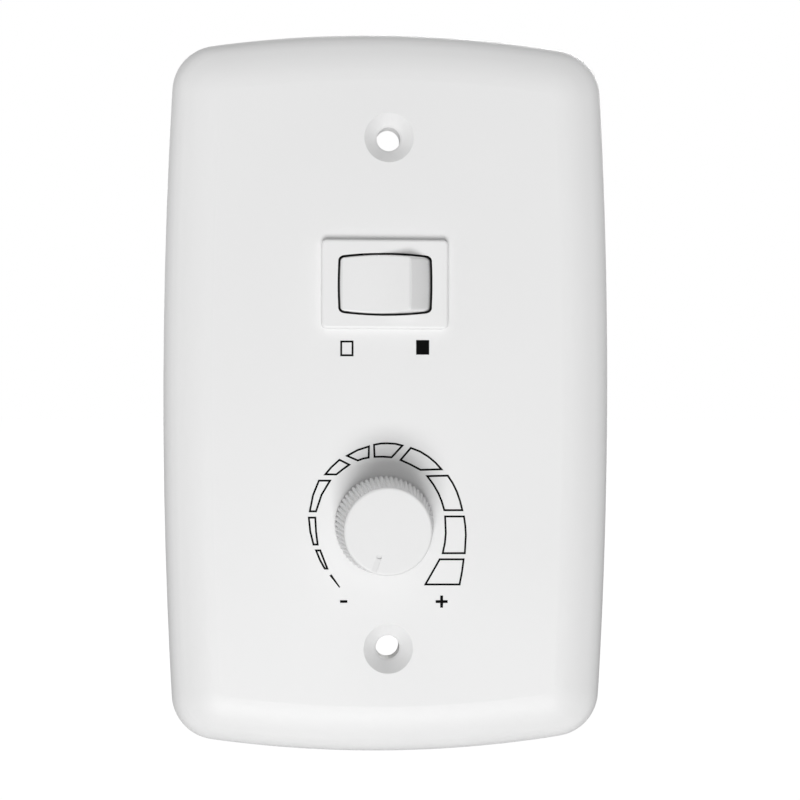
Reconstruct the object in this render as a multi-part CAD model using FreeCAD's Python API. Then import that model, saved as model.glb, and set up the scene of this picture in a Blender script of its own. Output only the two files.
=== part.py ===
import FreeCAD, Part
import math
import os

# All sizes are in millimetres and degrees. The wall plane is y = 0, the front looks along -Y, and +Z is up.
# The origin lies midway between the two box screws.

# Wall plate
PLATE_WIDTH = 74.0
PLATE_HEIGHT = 119.0
PLATE_DEPTH = 9.0
PLATE_WALL = 2.0
PLATE_SIDE_BOW = 1.8
PLATE_END_BOW = 3.2
PLATE_CORNER_RADIUS = 7.6
SKIRT_HEIGHT = 5.6
SHOULDER_RADIUS = 5.0
FLANK_WIDTH = 5.2
FACE_CORNER_RADIUS = 5.0
FACE_BEND_RADIUS = 10.5
BOX_SCREW_SPACING = 83.5
BOX_SCREW_HOLE = 3.9
BOX_SCREW_SINK = 8.1
BOX_SCREW_BOSS = 9.8
BOX_SCREW_BOSS_LENGTH = 6.0
RIB_THICKNESS = 1.2
RIB_HEIGHT = 3.0
RIB_SPACING = 27.0
CONTROLS_X = -0.7

# Rocker switch
SWITCH_Z = 17.7
BEZEL_OVERHANG = 0.75
BEZEL_HEIGHT = 14.5
BEZEL_THICKNESS = 1.7
BEZEL_CORNER_RADIUS = 0.8
BEZEL_EDGE_RADIUS = 0.45
HOUSING_END_WALL = 0.42
WELL_DROP = 4.2
HOUSING_HEIGHT = 12.6
HOUSING_DEPTH = 14.3
HOUSING_FLOOR = 2.6
PANEL_CLEARANCE = 0.2
WING_WIDTH = 6.0
WING_REACH = 1.1
WING_LENGTH = 6.0
WINDOW_WIDTH = 15.4
WINDOW_HEIGHT = 10.2
WINDOW_SIDE_BOW = 0.15
WINDOW_END_BOW = 0.5
WINDOW_CORNER_RADIUS = 0.9
ROCKER_GAP = 0.32
ROCKER_TILT = 14.0
ROCKER_SKIRT = 1.3
ROCKER_WALL = 1.2
ROCKER_CORNER_RADIUS = 0.7
ROCKER_EDGE_RADIUS = 0.3
PIVOT_DEPTH = 4.9
PIVOT_RADIUS = 1.0
RIDGE_PROUD = 0.1
ROCKER_DISH = 0.9
RUNNING_CLEARANCE = 0.04
SOCKET_RADIUS = 1.3
SOCKET_WALL = 0.8
SOCKET_DROP = 3.2
SOCKET_HEIGHT = 4.0
PLUNGER_GUIDED = 2.2
PLUNGER_CLEARANCE = 0.08
SPRING_WIRE = 0.3
SPRING_TURNS = 7

# Switch contacts
TAB_WIDTH = 4.8
TAB_THICKNESS = 0.8
TAB_REACH = 8.0
TAB_SPACING = 6.6
TAB_HOLE = 1.5
TAB_POINT = 1.0
FULCRUM_HEIGHT = 2.1
FULCRUM_DROP = 0.25
SEESAW_LENGTH = 13.8
SEESAW_WIDTH = 4.0
SEESAW_THICKNESS = 0.6
SEESAW_TILT = 7.0
TIP_X = 6.0
TIP_RADIUS = 1.0
TIP_THICKNESS = 0.5
TIP_CLEARANCE = 0.06
SHELF_THICKNESS = 0.6
SHELF_REACH = 1.2

# Potentiometer
KNOB_Z = -21.5
FLANGE_DIAMETER = 16.4
FLANGE_THICKNESS = 1.6
BUSHING_DIAMETER = 7.0
BUSHING_LENGTH = 6.2
LUG_RADIUS = 7.0
LUG_WIDTH = 2.6
LUG_THICKNESS = 1.2
LUG_HEIGHT = 1.0
NUT_ACROSS_FLATS = 10.0
NUT_THICKNESS = 2.0
WASHER_DIAMETER = 12.0
WASHER_THICKNESS = 0.5
THREAD_CLEARANCE = 0.02
SHAFT_DIAMETER = 6.0
SHAFT_LENGTH = 13.0
SHAFT_FLAT_DEPTH = 1.5
SPIGOT_DIAMETER = 4.0
CLIP_THICKNESS = 0.5
CLIP_DIAMETER = 7.8
CLIP_GROOVE_DEPTH = 0.5
CLIP_MOUTH = 4.4
AXIAL_CLEARANCE = 0.15
WAFER_THICKNESS = 1.2
WAFER_HOLE = 8.0
WAFER_CLEARANCE = 0.3
TONGUE_WIDTH = 14.0
TONGUE_REACH = 12.0
ROTOR_DIAMETER = 12.4
ROTOR_THICKNESS = 1.6
ROTOR_SPACE = 0.8
WIPER_THICKNESS = 0.25
WIPER_INNER = 8.0
WIPER_FINGER = 0.5
CASE_WALL = 0.4
CASE_SPACE = 0.6
CASE_LIP = 0.4
CASE_REAR_RADIUS = 0.8
PIN_SPACING = 5.0
PIN_WIDTH = 1.1
PIN_THICKNESS = 0.4
PIN_OVERHANG = 0.8

# Knob
KNOB_HEIGHT = 13.0
KNOB_LIFT = 0.6
KNOB_BASE_DIAMETER = 16.1
KNOB_TOP_DIAMETER = 13.85
KNOB_RIM_HEIGHT = 0.9
KNOB_RIM_RADIUS = 0.4
KNOB_WALL = 1.2
KNOB_ROOF = 1.6
KNURL_COUNT = 60
KNURL_BASE_DEPTH = 0.4
KNURL_TOP_DEPTH = 0.14
KNURL_CREST_SHARE = 0.4
HUB_WALL = 1.5
HUB_WEB = 1.0
POINTER_START = 4.1
POINTER_WIDTH = 0.85
POINTER_DEPTH = 0.14
POINTER_DIMPLE = 0.35
POINTER_ANGLE = 20.0

# Circuit board
BOARD_WIDTH = 44.0
BOARD_HEIGHT = 43.5
BOARD_TOP_Z = 7.5
BOARD_THICKNESS = 1.6
BOARD_STANDOFF = 9.0
BOARD_BOSS = 6.0
BOARD_SCREW_INSET = 3.5
BOARD_SCREW_DIAMETER = 2.4
BOARD_SCREW_LENGTH = 7.0
BOARD_SCREW_HEAD = 5.0
BOARD_SCREW_HEAD_HEIGHT = 1.8
LEAD_CLEARANCE = 0.1
LEAD_TAIL = 1.2

# Screw terminal block
WAY_COUNT = 3
WAY_SPACING = 5.08
BLOCK_DEPTH = 8.2
BLOCK_HEIGHT = 10.2
BLOCK_CHAMFER = 2.4
BLOCK_EDGE_INSET = 0.4
CHAMBER_WIDTH = 3.8
CHAMBER_HEIGHT = 5.2
CHAMBER_DEPTH = 5.6
CHAMBER_FLOOR = 1.2
CLAMP_CLEARANCE = 0.1
CLAMP_WALL = 0.6
CLAMP_LENGTH = 4.4
CLAMP_PIN = 0.9
CLAMP_SCREW = 2.4
CLAMP_SCREW_HEAD = 3.4
CLAMP_SCREW_HEAD_HEIGHT = 1.6

# Triac and heat sink
TRIAC_WIDTH = 10.2
TRIAC_BODY_HEIGHT = 9.0
TRIAC_THICKNESS = 4.5
TRIAC_TAB_HEIGHT = 6.4
TRIAC_TAB_THICKNESS = 1.3
TRIAC_HOLE = 3.7
TRIAC_HOLE_DROP = 2.8
TRIAC_LIFT = 3.4
TRIAC_Z = -17.0
LEAD_SPACING = 2.54
LEAD_WIDTH = 0.8
LEAD_THICKNESS = 0.5
LEAD_INSET = 2.4
SINK_INSET = 8.0
SINK_WALL = 1.5
SINK_WIDTH = 22.0
SINK_HEIGHT = 19.8
SINK_FLANGE = 5.5
SINK_BEND = 1.2
SINK_SCREW = 3.0
SINK_SCREW_HEAD = 5.5
SINK_SCREW_HEAD_HEIGHT = 2.0
SINK_SCREW_TAIL = 1.0
SINK_NUT_FLATS = 5.5
SINK_NUT_THICKNESS = 2.4

# Small components
SNUBBER_SIZE = (13.0, 11.5, 6.0)
SNUBBER_PLACE = (5.0, 0.6)
SNUBBER_LEADS = 10.0
TIMING_SIZE = (7.3, 9.0, 4.6)
TIMING_PLACE = (-8.0, 0.6)
TIMING_LEADS = 5.0
CASE_EDGE_RADIUS = 0.6
CAPACITOR_WIRE = 0.7
RESISTOR_X = 6.5
RESISTOR_ROWS = (-14.0, -18.0, -22.0)
RESISTOR_LENGTH = 6.5
RESISTOR_DIAMETER = 2.4
RESISTOR_LEADS = 10.16
RESISTOR_WIRE = 0.6
RESISTOR_WAIST = 0.88
DIAC_INSET = 5.0
DIAC_Z = -15.0
DIAC_LENGTH = 3.9
DIAC_DIAMETER = 1.9
DIAC_LEADS = 7.62
DIAC_WIRE = 0.5
DIAC_WAIST = 0.95
AXIAL_LIFT = 0.2
WIRE_BEND = 0.9

# Planes and axes that follow from the sizes above
FACE = -PLATE_DEPTH
BACK = FACE + PLATE_WALL
BEZEL_FRONT = FACE - BEZEL_THICKNESS
PIVOT_Y = BEZEL_FRONT + PIVOT_DEPTH
WELL_RADIUS = math.hypot(WINDOW_WIDTH / 2, PIVOT_DEPTH)
WELL_SIDE_BOW = WELL_RADIUS - math.hypot(WINDOW_WIDTH / 2 - WINDOW_SIDE_BOW, PIVOT_DEPTH)
WELL_RISE = WINDOW_END_BOW * (PIVOT_DEPTH / (WINDOW_WIDTH / 2 - WINDOW_SIDE_BOW)) ** 2
WELL_HEIGHT = WINDOW_HEIGHT + 2 * WELL_RISE
WELL_END_BOW = WINDOW_END_BOW + WELL_RISE
HOUSING_WIDTH = 2 * (WELL_RADIUS + HOUSING_END_WALL)
BEZEL_WIDTH = HOUSING_WIDTH + 2 * BEZEL_OVERHANG
HOUSING_END = FACE + HOUSING_DEPTH
FLOOR_FRONT = HOUSING_END - HOUSING_FLOOR
FULCRUM_Y = FLOOR_FRONT - FULCRUM_HEIGHT
FULCRUM_RADIUS = TAB_THICKNESS / 2
SEESAW_REAR = FULCRUM_Y - FULCRUM_DROP
SEESAW_FRONT = SEESAW_REAR - SEESAW_THICKNESS
PLUNGER_TIP = SEESAW_FRONT - PLUNGER_CLEARANCE
ROCKER_REACH = WELL_RADIUS - ROCKER_GAP
WAFER_FRONT = BACK + FLANGE_THICKNESS
WAFER_REAR = WAFER_FRONT + WAFER_THICKNESS
ROTOR_FRONT = WAFER_REAR + ROTOR_SPACE
ROTOR_REAR = ROTOR_FRONT + ROTOR_THICKNESS
CASE_INNER = ROTOR_REAR + CASE_SPACE
BUSHING_FRONT = BACK - BUSHING_LENGTH
WASHER_FRONT = FACE - WASHER_THICKNESS
NUT_FRONT = WASHER_FRONT - NUT_THICKNESS
CLIP_REAR = BUSHING_FRONT - AXIAL_CLEARANCE
CLIP_FRONT = CLIP_REAR - CLIP_THICKNESS
SHAFT_FRONT = BACK - SHAFT_LENGTH
KNOB_BASE = FACE - KNOB_LIFT
KNOB_FRONT = FACE - KNOB_HEIGHT
HUB_REAR = CLIP_FRONT - AXIAL_CLEARANCE
BOARD_FRONT = BACK + BOARD_STANDOFF
BOARD_REAR = BOARD_FRONT + BOARD_THICKNESS
BOARD_BOTTOM_Z = BOARD_TOP_Z - BOARD_HEIGHT
LEAD_END = BOARD_FRONT - LEAD_TAIL
SINK_X = -BOARD_WIDTH / 2 + SINK_INSET
DIAC_X = BOARD_WIDTH / 2 - DIAC_INSET


def point(x, y, z):
    return FreeCAD.Vector(x, y, z)


def block(x0, x1, y0, y1, z0, z1):
    return Part.makeBox(x1 - x0, y1 - y0, z1 - z0, point(x0, y0, z0))


def rod_x(y, z, radius, x0, x1):
    return Part.makeCylinder(radius, x1 - x0, point(x0, y, z), point(1, 0, 0))


def rod_y(x, z, radius, y0, y1):
    return Part.makeCylinder(radius, y1 - y0, point(x, y0, z), point(0, 1, 0))


def rod_z(x, y, radius, z0, z1):
    return Part.makeCylinder(radius, z1 - z0, point(x, y, z0), point(0, 0, 1))


def turned(shape, centre, axis, angle):
    copy = shape.copy()
    copy.rotate(centre, axis, angle)
    return copy


def fused(shapes):
    return shapes[0].multiFuse(shapes[1:]).removeSplitter()


def edges_at_depth(shape, y):
    return [e for e in shape.Edges if all(abs(v.Y - y) < 1e-4 for v in e.Vertexes)]


def hexagon_y(x, z, across_flats, y0, y1):
    radius = across_flats / math.sqrt(3)
    corners = []
    for i in range(7):
        angle = math.radians(60 * i + 30)
        corners.append(point(x + radius * math.cos(angle), y0, z + radius * math.sin(angle)))
    return Part.Face(Part.makePolygon(corners)).extrude(point(0, y1 - y0, 0))


def bowed_outline(width, height, side_bow, end_bow, corner_radius, inset, y, centre_x, centre_z):
    """A rectangle with outward bowed sides and round corners, drawn inset from its own edge."""
    side_radius = ((height / 2 - end_bow) ** 2 + side_bow ** 2) / (2 * side_bow)
    end_radius = ((width / 2 - side_bow) ** 2 + end_bow ** 2) / (2 * end_bow)
    side = FreeCAD.Vector(width / 2 - side_radius, 0, 0)
    end = FreeCAD.Vector(0, 0, height / 2 - end_radius)
    to_side = side_radius - inset - corner_radius
    to_end = end_radius - inset - corner_radius
    link = end - side
    distance = link.Length
    link.normalize()
    along = (to_side ** 2 - to_end ** 2 + distance ** 2) / (2 * distance)
    across = math.sqrt(to_side ** 2 - along ** 2)
    corner = side + link * along + FreeCAD.Vector(-link.z, 0, link.x) * across
    side_touch = side + (corner - side).normalize() * (side_radius - inset)
    end_touch = end + (corner - end).normalize() * (end_radius - inset)
    middle = corner + ((side_touch - corner) + (end_touch - corner)).normalize() * corner_radius
    side_middle = FreeCAD.Vector(width / 2 - inset, 0, 0)
    end_middle = FreeCAD.Vector(0, 0, height / 2 - inset)

    def placed(p, sign_x, sign_z):
        return point(centre_x + sign_x * p.x, y, centre_z + sign_z * p.z)

    arcs = []
    for sx, sz in ((1, 1), (-1, -1)):
        side_start = placed(side_touch, sx, -sz)
        side_end = placed(side_touch, sx, sz)
        end_start = placed(end_touch, sx, sz)
        end_end = placed(end_touch, -sx, sz)
        arcs.append(Part.Arc(side_start, placed(side_middle, sx, sz), side_end))
        arcs.append(Part.Arc(side_end, placed(middle, sx, sz), end_start))
        arcs.append(Part.Arc(end_start, placed(end_middle, sx, sz), end_end))
        arcs.append(Part.Arc(end_end, placed(middle, -sx, sz), placed(side_touch, -sx, sz)))
    return Part.Wire([arc.toShape() for arc in arcs])


def plate_outline(inset, corner_radius, y):
    return bowed_outline(
        PLATE_WIDTH, PLATE_HEIGHT, PLATE_SIDE_BOW, PLATE_END_BOW, corner_radius, inset, y, 0, 0
    )


def pivot_drum(inset, corner_radius):
    """Solid turned about the rocker's pivot, whose cut at the bezel's front is the bowed window."""
    outline = bowed_outline(
        2 * WELL_RADIUS, WELL_HEIGHT, WELL_SIDE_BOW, WELL_END_BOW, corner_radius,
        inset, PIVOT_Y, CONTROLS_X, SWITCH_Z,
    )
    half = Part.Face(outline).common(block(
        CONTROLS_X, CONTROLS_X + 2 * WELL_RADIUS, PIVOT_Y - WELL_RADIUS, PIVOT_Y + WELL_RADIUS,
        SWITCH_Z - WELL_HEIGHT, SWITCH_Z + WELL_HEIGHT,
    ))
    return half.Faces[0].revolve(point(CONTROLS_X, PIVOT_Y, SWITCH_Z), point(0, 0, 1), 360)


def board_screw_places():
    half = BOARD_WIDTH / 2 - BOARD_SCREW_INSET
    places = []
    for x in (-half, half):
        for z in (BOARD_BOTTOM_Z + BOARD_SCREW_INSET, BOARD_TOP_Z - BOARD_SCREW_INSET):
            places.append((x, z))
    return places


def face_plate():
    """Hollow moulded plate: straight skirt, sloping flank and flat face, with bosses and ribs behind."""
    rim = plate_outline(0, PLATE_CORNER_RADIUS, 0)
    shoulder = plate_outline(0, PLATE_CORNER_RADIUS, -SKIRT_HEIGHT)
    face = plate_outline(FLANK_WIDTH, FACE_CORNER_RADIUS, FACE)
    skirt = Part.Face(rim).extrude(point(0, -SKIRT_HEIGHT, 0))
    outer = skirt.fuse(Part.makeLoft([shoulder, face], True, True))
    outer = outer.makeFillet(SHOULDER_RADIUS, edges_at_depth(outer, -SKIRT_HEIGHT))
    outer = outer.makeFillet(FACE_BEND_RADIUS, edges_at_depth(outer, FACE))

    slope = (PLATE_DEPTH - SKIRT_HEIGHT) / FLANK_WIDTH
    wall_rise = PLATE_WALL * math.hypot(1, slope)
    inner_shoulder = -SKIRT_HEIGHT - slope * PLATE_WALL + wall_rise
    inner_flank = (PLATE_DEPTH - PLATE_WALL - SKIRT_HEIGHT + wall_rise) / slope
    inner_corner = PLATE_CORNER_RADIUS - PLATE_WALL
    inner_rim = plate_outline(PLATE_WALL, inner_corner, 0)
    hollow = Part.Face(inner_rim).extrude(point(0, inner_shoulder, 0))
    hollow = hollow.fuse(Part.makeLoft([
        plate_outline(PLATE_WALL, inner_corner, inner_shoulder),
        plate_outline(inner_flank, FACE_CORNER_RADIUS, BACK),
    ], True, True))

    rib_rear = BACK + RIB_HEIGHT
    half = RIB_THICKNESS / 2
    ribs = []
    for x in (-RIB_SPACING / 2, RIB_SPACING / 2):
        x += CONTROLS_X
        ribs.append(block(x - half, x + half, BACK, rib_rear, -PLATE_HEIGHT / 2, PLATE_HEIGHT / 2))
    middle_rib_z = (SWITCH_Z - BEZEL_HEIGHT / 2 + KNOB_Z + FLANGE_DIAMETER / 2) / 2
    for z in (-BOX_SCREW_SPACING / 2, middle_rib_z, BOX_SCREW_SPACING / 2):
        ribs.append(block(-PLATE_WIDTH / 2, PLATE_WIDTH / 2, BACK, rib_rear, z - half, z + half))
    plate = fused([outer.cut(hollow)] + [rib.common(hollow) for rib in ribs])

    boss_root = FACE + PLATE_WALL / 2
    boss_rear = FACE + BOX_SCREW_BOSS_LENGTH
    for z in (-BOX_SCREW_SPACING / 2, BOX_SCREW_SPACING / 2):
        plate = plate.fuse(rod_y(0, z, BOX_SCREW_BOSS / 2, boss_root, boss_rear))
    for x, z in board_screw_places():
        plate = plate.fuse(rod_y(x, z, BOARD_BOSS / 2, boss_root, BOARD_FRONT))
    for z in (-BOX_SCREW_SPACING / 2, BOX_SCREW_SPACING / 2):
        plate = plate.cut(rod_y(0, z, BOX_SCREW_HOLE / 2, FACE, boss_rear))
        sink = (BOX_SCREW_SINK - BOX_SCREW_HOLE) / 2
        plate = plate.cut(Part.makeCone(
            BOX_SCREW_SINK / 2, BOX_SCREW_HOLE / 2, sink, point(0, FACE, z), point(0, 1, 0)
        ))
    for x, z in board_screw_places():
        bottom = BOARD_FRONT - BOARD_SCREW_LENGTH
        plate = plate.cut(rod_y(x, z, BOARD_SCREW_DIAMETER / 2, bottom, BOARD_FRONT))
    half_width = HOUSING_WIDTH / 2 + PANEL_CLEARANCE
    half_height = HOUSING_HEIGHT / 2 + PANEL_CLEARANCE
    plate = plate.cut(block(
        CONTROLS_X - half_width, CONTROLS_X + half_width, FACE, rib_rear,
        SWITCH_Z - half_height, SWITCH_Z + half_height,
    ))
    plate = plate.cut(rod_y(CONTROLS_X, KNOB_Z, BUSHING_DIAMETER / 2 + PANEL_CLEARANCE, FACE, BACK))
    return plate.cut(pot_lug(PANEL_CLEARANCE)).removeSplitter()


def pot_lug(clearance):
    x = CONTROLS_X - LUG_RADIUS
    half = LUG_WIDTH / 2 + clearance
    return block(
        x - LUG_THICKNESS / 2 - clearance, x + LUG_THICKNESS / 2 + clearance,
        BACK - LUG_HEIGHT - clearance, BACK, KNOB_Z - half, KNOB_Z + half,
    )


def tab_places():
    return {"left": CONTROLS_X - TAB_SPACING, "common": CONTROLS_X, "right": CONTROLS_X + TAB_SPACING}


def switch_housing():
    """Bezel and body with a bowed window, a well turned about the pivot, slotted floor and snap wings."""
    bezel = block(
        CONTROLS_X - BEZEL_WIDTH / 2, CONTROLS_X + BEZEL_WIDTH / 2, BEZEL_FRONT, FACE,
        SWITCH_Z - BEZEL_HEIGHT / 2, SWITCH_Z + BEZEL_HEIGHT / 2,
    )
    uprights = [e for e in bezel.Edges if abs(e.Vertexes[0].Y - e.Vertexes[-1].Y) > BEZEL_THICKNESS / 2]
    bezel = bezel.makeFillet(BEZEL_CORNER_RADIUS, uprights)
    bezel = bezel.makeFillet(BEZEL_EDGE_RADIUS, edges_at_depth(bezel, BEZEL_FRONT))
    body = block(
        CONTROLS_X - HOUSING_WIDTH / 2, CONTROLS_X + HOUSING_WIDTH / 2, FACE, HOUSING_END,
        SWITCH_Z - HOUSING_HEIGHT / 2, SWITCH_Z + HOUSING_HEIGHT / 2,
    )
    shapes = [bezel, body]
    wing_front = BACK + PANEL_CLEARANCE
    for sign in (-1, 1):
        root = CONTROLS_X + sign * HOUSING_WIDTH / 2
        corners = [
            point(root, wing_front, SWITCH_Z - WING_WIDTH / 2),
            point(root + sign * WING_REACH, wing_front, SWITCH_Z - WING_WIDTH / 2),
            point(root, wing_front + WING_LENGTH, SWITCH_Z - WING_WIDTH / 2),
        ]
        wing = Part.Face(Part.makePolygon(corners + corners[:1]))
        shapes.append(wing.extrude(point(0, 0, WING_WIDTH)))
    housing = fused(shapes)
    housing = housing.cut(pivot_drum(0, WINDOW_CORNER_RADIUS).common(block(
        CONTROLS_X - WELL_RADIUS, CONTROLS_X + WELL_RADIUS, BEZEL_FRONT, PIVOT_Y + WELL_DROP,
        SWITCH_Z - WELL_HEIGHT, SWITCH_Z + WELL_HEIGHT,
    )))
    window = Part.Face(bowed_outline(
        WINDOW_WIDTH, WINDOW_HEIGHT, WINDOW_SIDE_BOW, WINDOW_END_BOW, WINDOW_CORNER_RADIUS,
        0, PIVOT_Y, CONTROLS_X, SWITCH_Z,
    ))
    housing = housing.cut(window.extrude(point(0, FLOOR_FRONT - PIVOT_Y, 0)))
    housing = housing.cut(rod_z(
        CONTROLS_X, PIVOT_Y, PIVOT_RADIUS + RUNNING_CLEARANCE,
        SWITCH_Z - HOUSING_HEIGHT / 2, SWITCH_Z + HOUSING_HEIGHT / 2,
    ))
    for x in tab_places().values():
        housing = housing.cut(block(
            x - TAB_THICKNESS / 2, x + TAB_THICKNESS / 2, FLOOR_FRONT, HOUSING_END,
            SWITCH_Z - TAB_WIDTH / 2, SWITCH_Z + TAB_WIDTH / 2,
        ))
    return housing


def at_rocker_rest(shape):
    return turned(shape, point(CONTROLS_X, PIVOT_Y, SWITCH_Z), point(0, 0, 1), -ROCKER_TILT)


def rocker_point(x, front):
    return point(CONTROLS_X + x, PIVOT_Y - front, SWITCH_Z)


def rocker_ridge():
    """Where the ridge lies from the pivot when the rocker is level."""
    angle = math.asin((PIVOT_DEPTH + RIDGE_PROUD) / ROCKER_REACH) + math.radians(ROCKER_TILT)
    return ROCKER_REACH * math.cos(angle), ROCKER_REACH * math.sin(angle)


def rocker_side_view(drop):
    """All that lies between the dished top, lowered by a drop, and the foot."""
    ridge_x, ridge_front = rocker_ridge()
    bottom = ridge_front - ROCKER_DISH - drop
    dish_radius = (ridge_x ** 2 + ROCKER_DISH ** 2) / (2 * ROCKER_DISH)
    end_front = bottom + dish_radius - math.sqrt(dish_radius ** 2 - WELL_RADIUS ** 2)
    left_end = rocker_point(-WELL_RADIUS, end_front)
    right_end = rocker_point(WELL_RADIUS, end_front)
    left_foot = rocker_point(-WELL_RADIUS, -ROCKER_SKIRT - drop)
    right_foot = rocker_point(WELL_RADIUS, -ROCKER_SKIRT - drop)
    face = Part.Face(Part.Wire([
        Part.Arc(left_end, rocker_point(0, bottom), right_end).toShape(),
        Part.makeLine(right_end, right_foot),
        Part.makeLine(right_foot, left_foot),
        Part.makeLine(left_foot, left_end),
    ]))
    face.translate(point(0, 0, -WELL_HEIGHT))
    return face.extrude(point(0, 0, 2 * WELL_HEIGHT))


def rocker():
    """Dished rocker, hollow from behind, with a spring socket in its middle and a pivot pin each side."""
    solid = pivot_drum(ROCKER_GAP, ROCKER_CORNER_RADIUS).common(rocker_side_view(0))
    top = max(solid.Faces, key=lambda f: -f.CenterOfMass.y)
    solid = solid.makeFillet(ROCKER_EDGE_RADIUS, top.Edges)
    hollow = pivot_drum(ROCKER_GAP + ROCKER_WALL, ROCKER_CORNER_RADIUS)
    hollow = hollow.common(rocker_side_view(ROCKER_WALL))
    socket_outer = SOCKET_RADIUS + SOCKET_WALL
    hollow = hollow.cut(block(
        CONTROLS_X - socket_outer, CONTROLS_X + socket_outer,
        PIVOT_Y - WELL_RADIUS, PIVOT_Y + WELL_RADIUS,
        SWITCH_Z - WELL_HEIGHT, SWITCH_Z + WELL_HEIGHT,
    ))
    socket = rod_y(CONTROLS_X, SWITCH_Z, socket_outer, PIVOT_Y, PIVOT_Y + SOCKET_DROP)
    bore = rod_y(CONTROLS_X, SWITCH_Z, SOCKET_RADIUS, PIVOT_Y - SOCKET_HEIGHT, PIVOT_Y + SOCKET_DROP)
    solid = solid.cut(hollow).fuse(socket).cut(bore)
    pin_end = HOUSING_HEIGHT / 2 - RUNNING_CLEARANCE
    pin_root = WINDOW_HEIGHT / 2 - ROCKER_GAP - ROCKER_WALL
    for z0, z1 in ((-pin_end, -pin_root), (pin_root, pin_end)):
        solid = solid.fuse(rod_z(CONTROLS_X, PIVOT_Y, PIVOT_RADIUS, SWITCH_Z + z0, SWITCH_Z + z1))
    return at_rocker_rest(solid.removeSplitter())


def rocker_spring():
    """Coil spring between the bottom of the socket and the plunger."""
    start = PIVOT_Y - SOCKET_HEIGHT + SPRING_WIRE / 2
    length = SOCKET_HEIGHT + SOCKET_DROP - PLUNGER_GUIDED - SPRING_WIRE
    radius = SOCKET_RADIUS - SPRING_WIRE / 2 - PLUNGER_CLEARANCE
    path = Part.makeHelix(length / SPRING_TURNS, length, radius)
    section = Part.Wire(Part.makeCircle(SPRING_WIRE / 2, point(radius, 0, 0), point(0, 1, 0)))
    coil = Part.Wire(path.Edges).makePipeShell([section], True, True)
    coil.rotate(point(0, 0, 0), point(1, 0, 0), -90)
    coil.translate(point(CONTROLS_X, start, SWITCH_Z))
    return at_rocker_rest(coil)


def spring_plunger():
    """Round-nosed plunger that slides in the socket."""
    radius = SOCKET_RADIUS - RUNNING_CLEARANCE
    start = PIVOT_Y + SOCKET_DROP - PLUNGER_GUIDED
    shank = rod_y(CONTROLS_X, SWITCH_Z, radius, start, PLUNGER_TIP - radius)
    nose = Part.makeSphere(radius, point(CONTROLS_X, PLUNGER_TIP - radius, SWITCH_Z))
    return at_rocker_rest(shank.fuse(nose).removeSplitter())


def at_seesaw_rest(shape):
    return turned(shape, point(CONTROLS_X, FULCRUM_Y, SWITCH_Z), point(0, 0, 1), SEESAW_TILT)


def seesaw_contact():
    """Contact strip with a groove that rides on the middle tab's round edge."""
    half = SEESAW_LENGTH / 2
    strip = block(
        CONTROLS_X - half, CONTROLS_X + half, SEESAW_FRONT, SEESAW_REAR,
        SWITCH_Z - SEESAW_WIDTH / 2, SWITCH_Z + SEESAW_WIDTH / 2,
    )
    ends = [e for e in strip.Edges if abs(e.Vertexes[0].Y - e.Vertexes[-1].Y) > SEESAW_THICKNESS / 2]
    strip = strip.makeFillet(TIP_RADIUS, ends)
    groove = rod_z(
        CONTROLS_X, FULCRUM_Y, FULCRUM_RADIUS + RUNNING_CLEARANCE,
        SWITCH_Z - SEESAW_WIDTH / 2, SWITCH_Z + SEESAW_WIDTH / 2,
    )
    return at_seesaw_rest(strip.cut(groove))


def moving_contact_tips():
    tips = []
    for x in (-TIP_X, TIP_X):
        tip = rod_y(CONTROLS_X + x, SWITCH_Z, TIP_RADIUS, SEESAW_REAR, SEESAW_REAR + TIP_THICKNESS)
        tips.append(at_seesaw_rest(tip))
    return Part.makeCompound(tips)


def shelf_front():
    return FLOOR_FRONT - SHELF_THICKNESS


def fixed_contact_tips():
    """Tips on the outer tabs, just clear of the moving tip that is down."""
    tilt = math.radians(SEESAW_TILT)
    tip_rear = SEESAW_REAR + TIP_THICKNESS - FULCRUM_Y
    reach = (TIP_X + TIP_RADIUS) * math.sin(tilt) + tip_rear * math.cos(tilt)
    front = FULCRUM_Y + reach + TIP_CLEARANCE
    tips = []
    for x in (-TIP_X, TIP_X):
        tips.append(rod_y(CONTROLS_X + x, SWITCH_Z, TIP_RADIUS, front, shelf_front()))
    return Part.makeCompound(tips)


def tab_blade(x, front):
    """Flat tab through the housing floor, with a pierced and pointed end."""
    end = HOUSING_END + TAB_REACH
    half = TAB_WIDTH / 2
    outline = [
        point(x - TAB_THICKNESS / 2, front, SWITCH_Z - half),
        point(x - TAB_THICKNESS / 2, end - TAB_POINT, SWITCH_Z - half),
        point(x - TAB_THICKNESS / 2, end, SWITCH_Z - half + TAB_POINT),
        point(x - TAB_THICKNESS / 2, end, SWITCH_Z + half - TAB_POINT),
        point(x - TAB_THICKNESS / 2, end - TAB_POINT, SWITCH_Z + half),
        point(x - TAB_THICKNESS / 2, front, SWITCH_Z + half),
    ]
    blade = Part.Face(Part.makePolygon(outline + outline[:1])).extrude(point(TAB_THICKNESS, 0, 0))
    hole_y = HOUSING_END + TAB_REACH / 2
    return blade.cut(rod_x(hole_y, SWITCH_Z, TAB_HOLE / 2, x - TAB_THICKNESS, x + TAB_THICKNESS))


def common_tab():
    """Middle tab, whose round inner edge is the strip's fulcrum."""
    x = tab_places()["common"]
    edge = rod_z(x, FULCRUM_Y, FULCRUM_RADIUS, SWITCH_Z - TAB_WIDTH / 2, SWITCH_Z + TAB_WIDTH / 2)
    return tab_blade(x, FULCRUM_Y).fuse(edge).removeSplitter()


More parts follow.
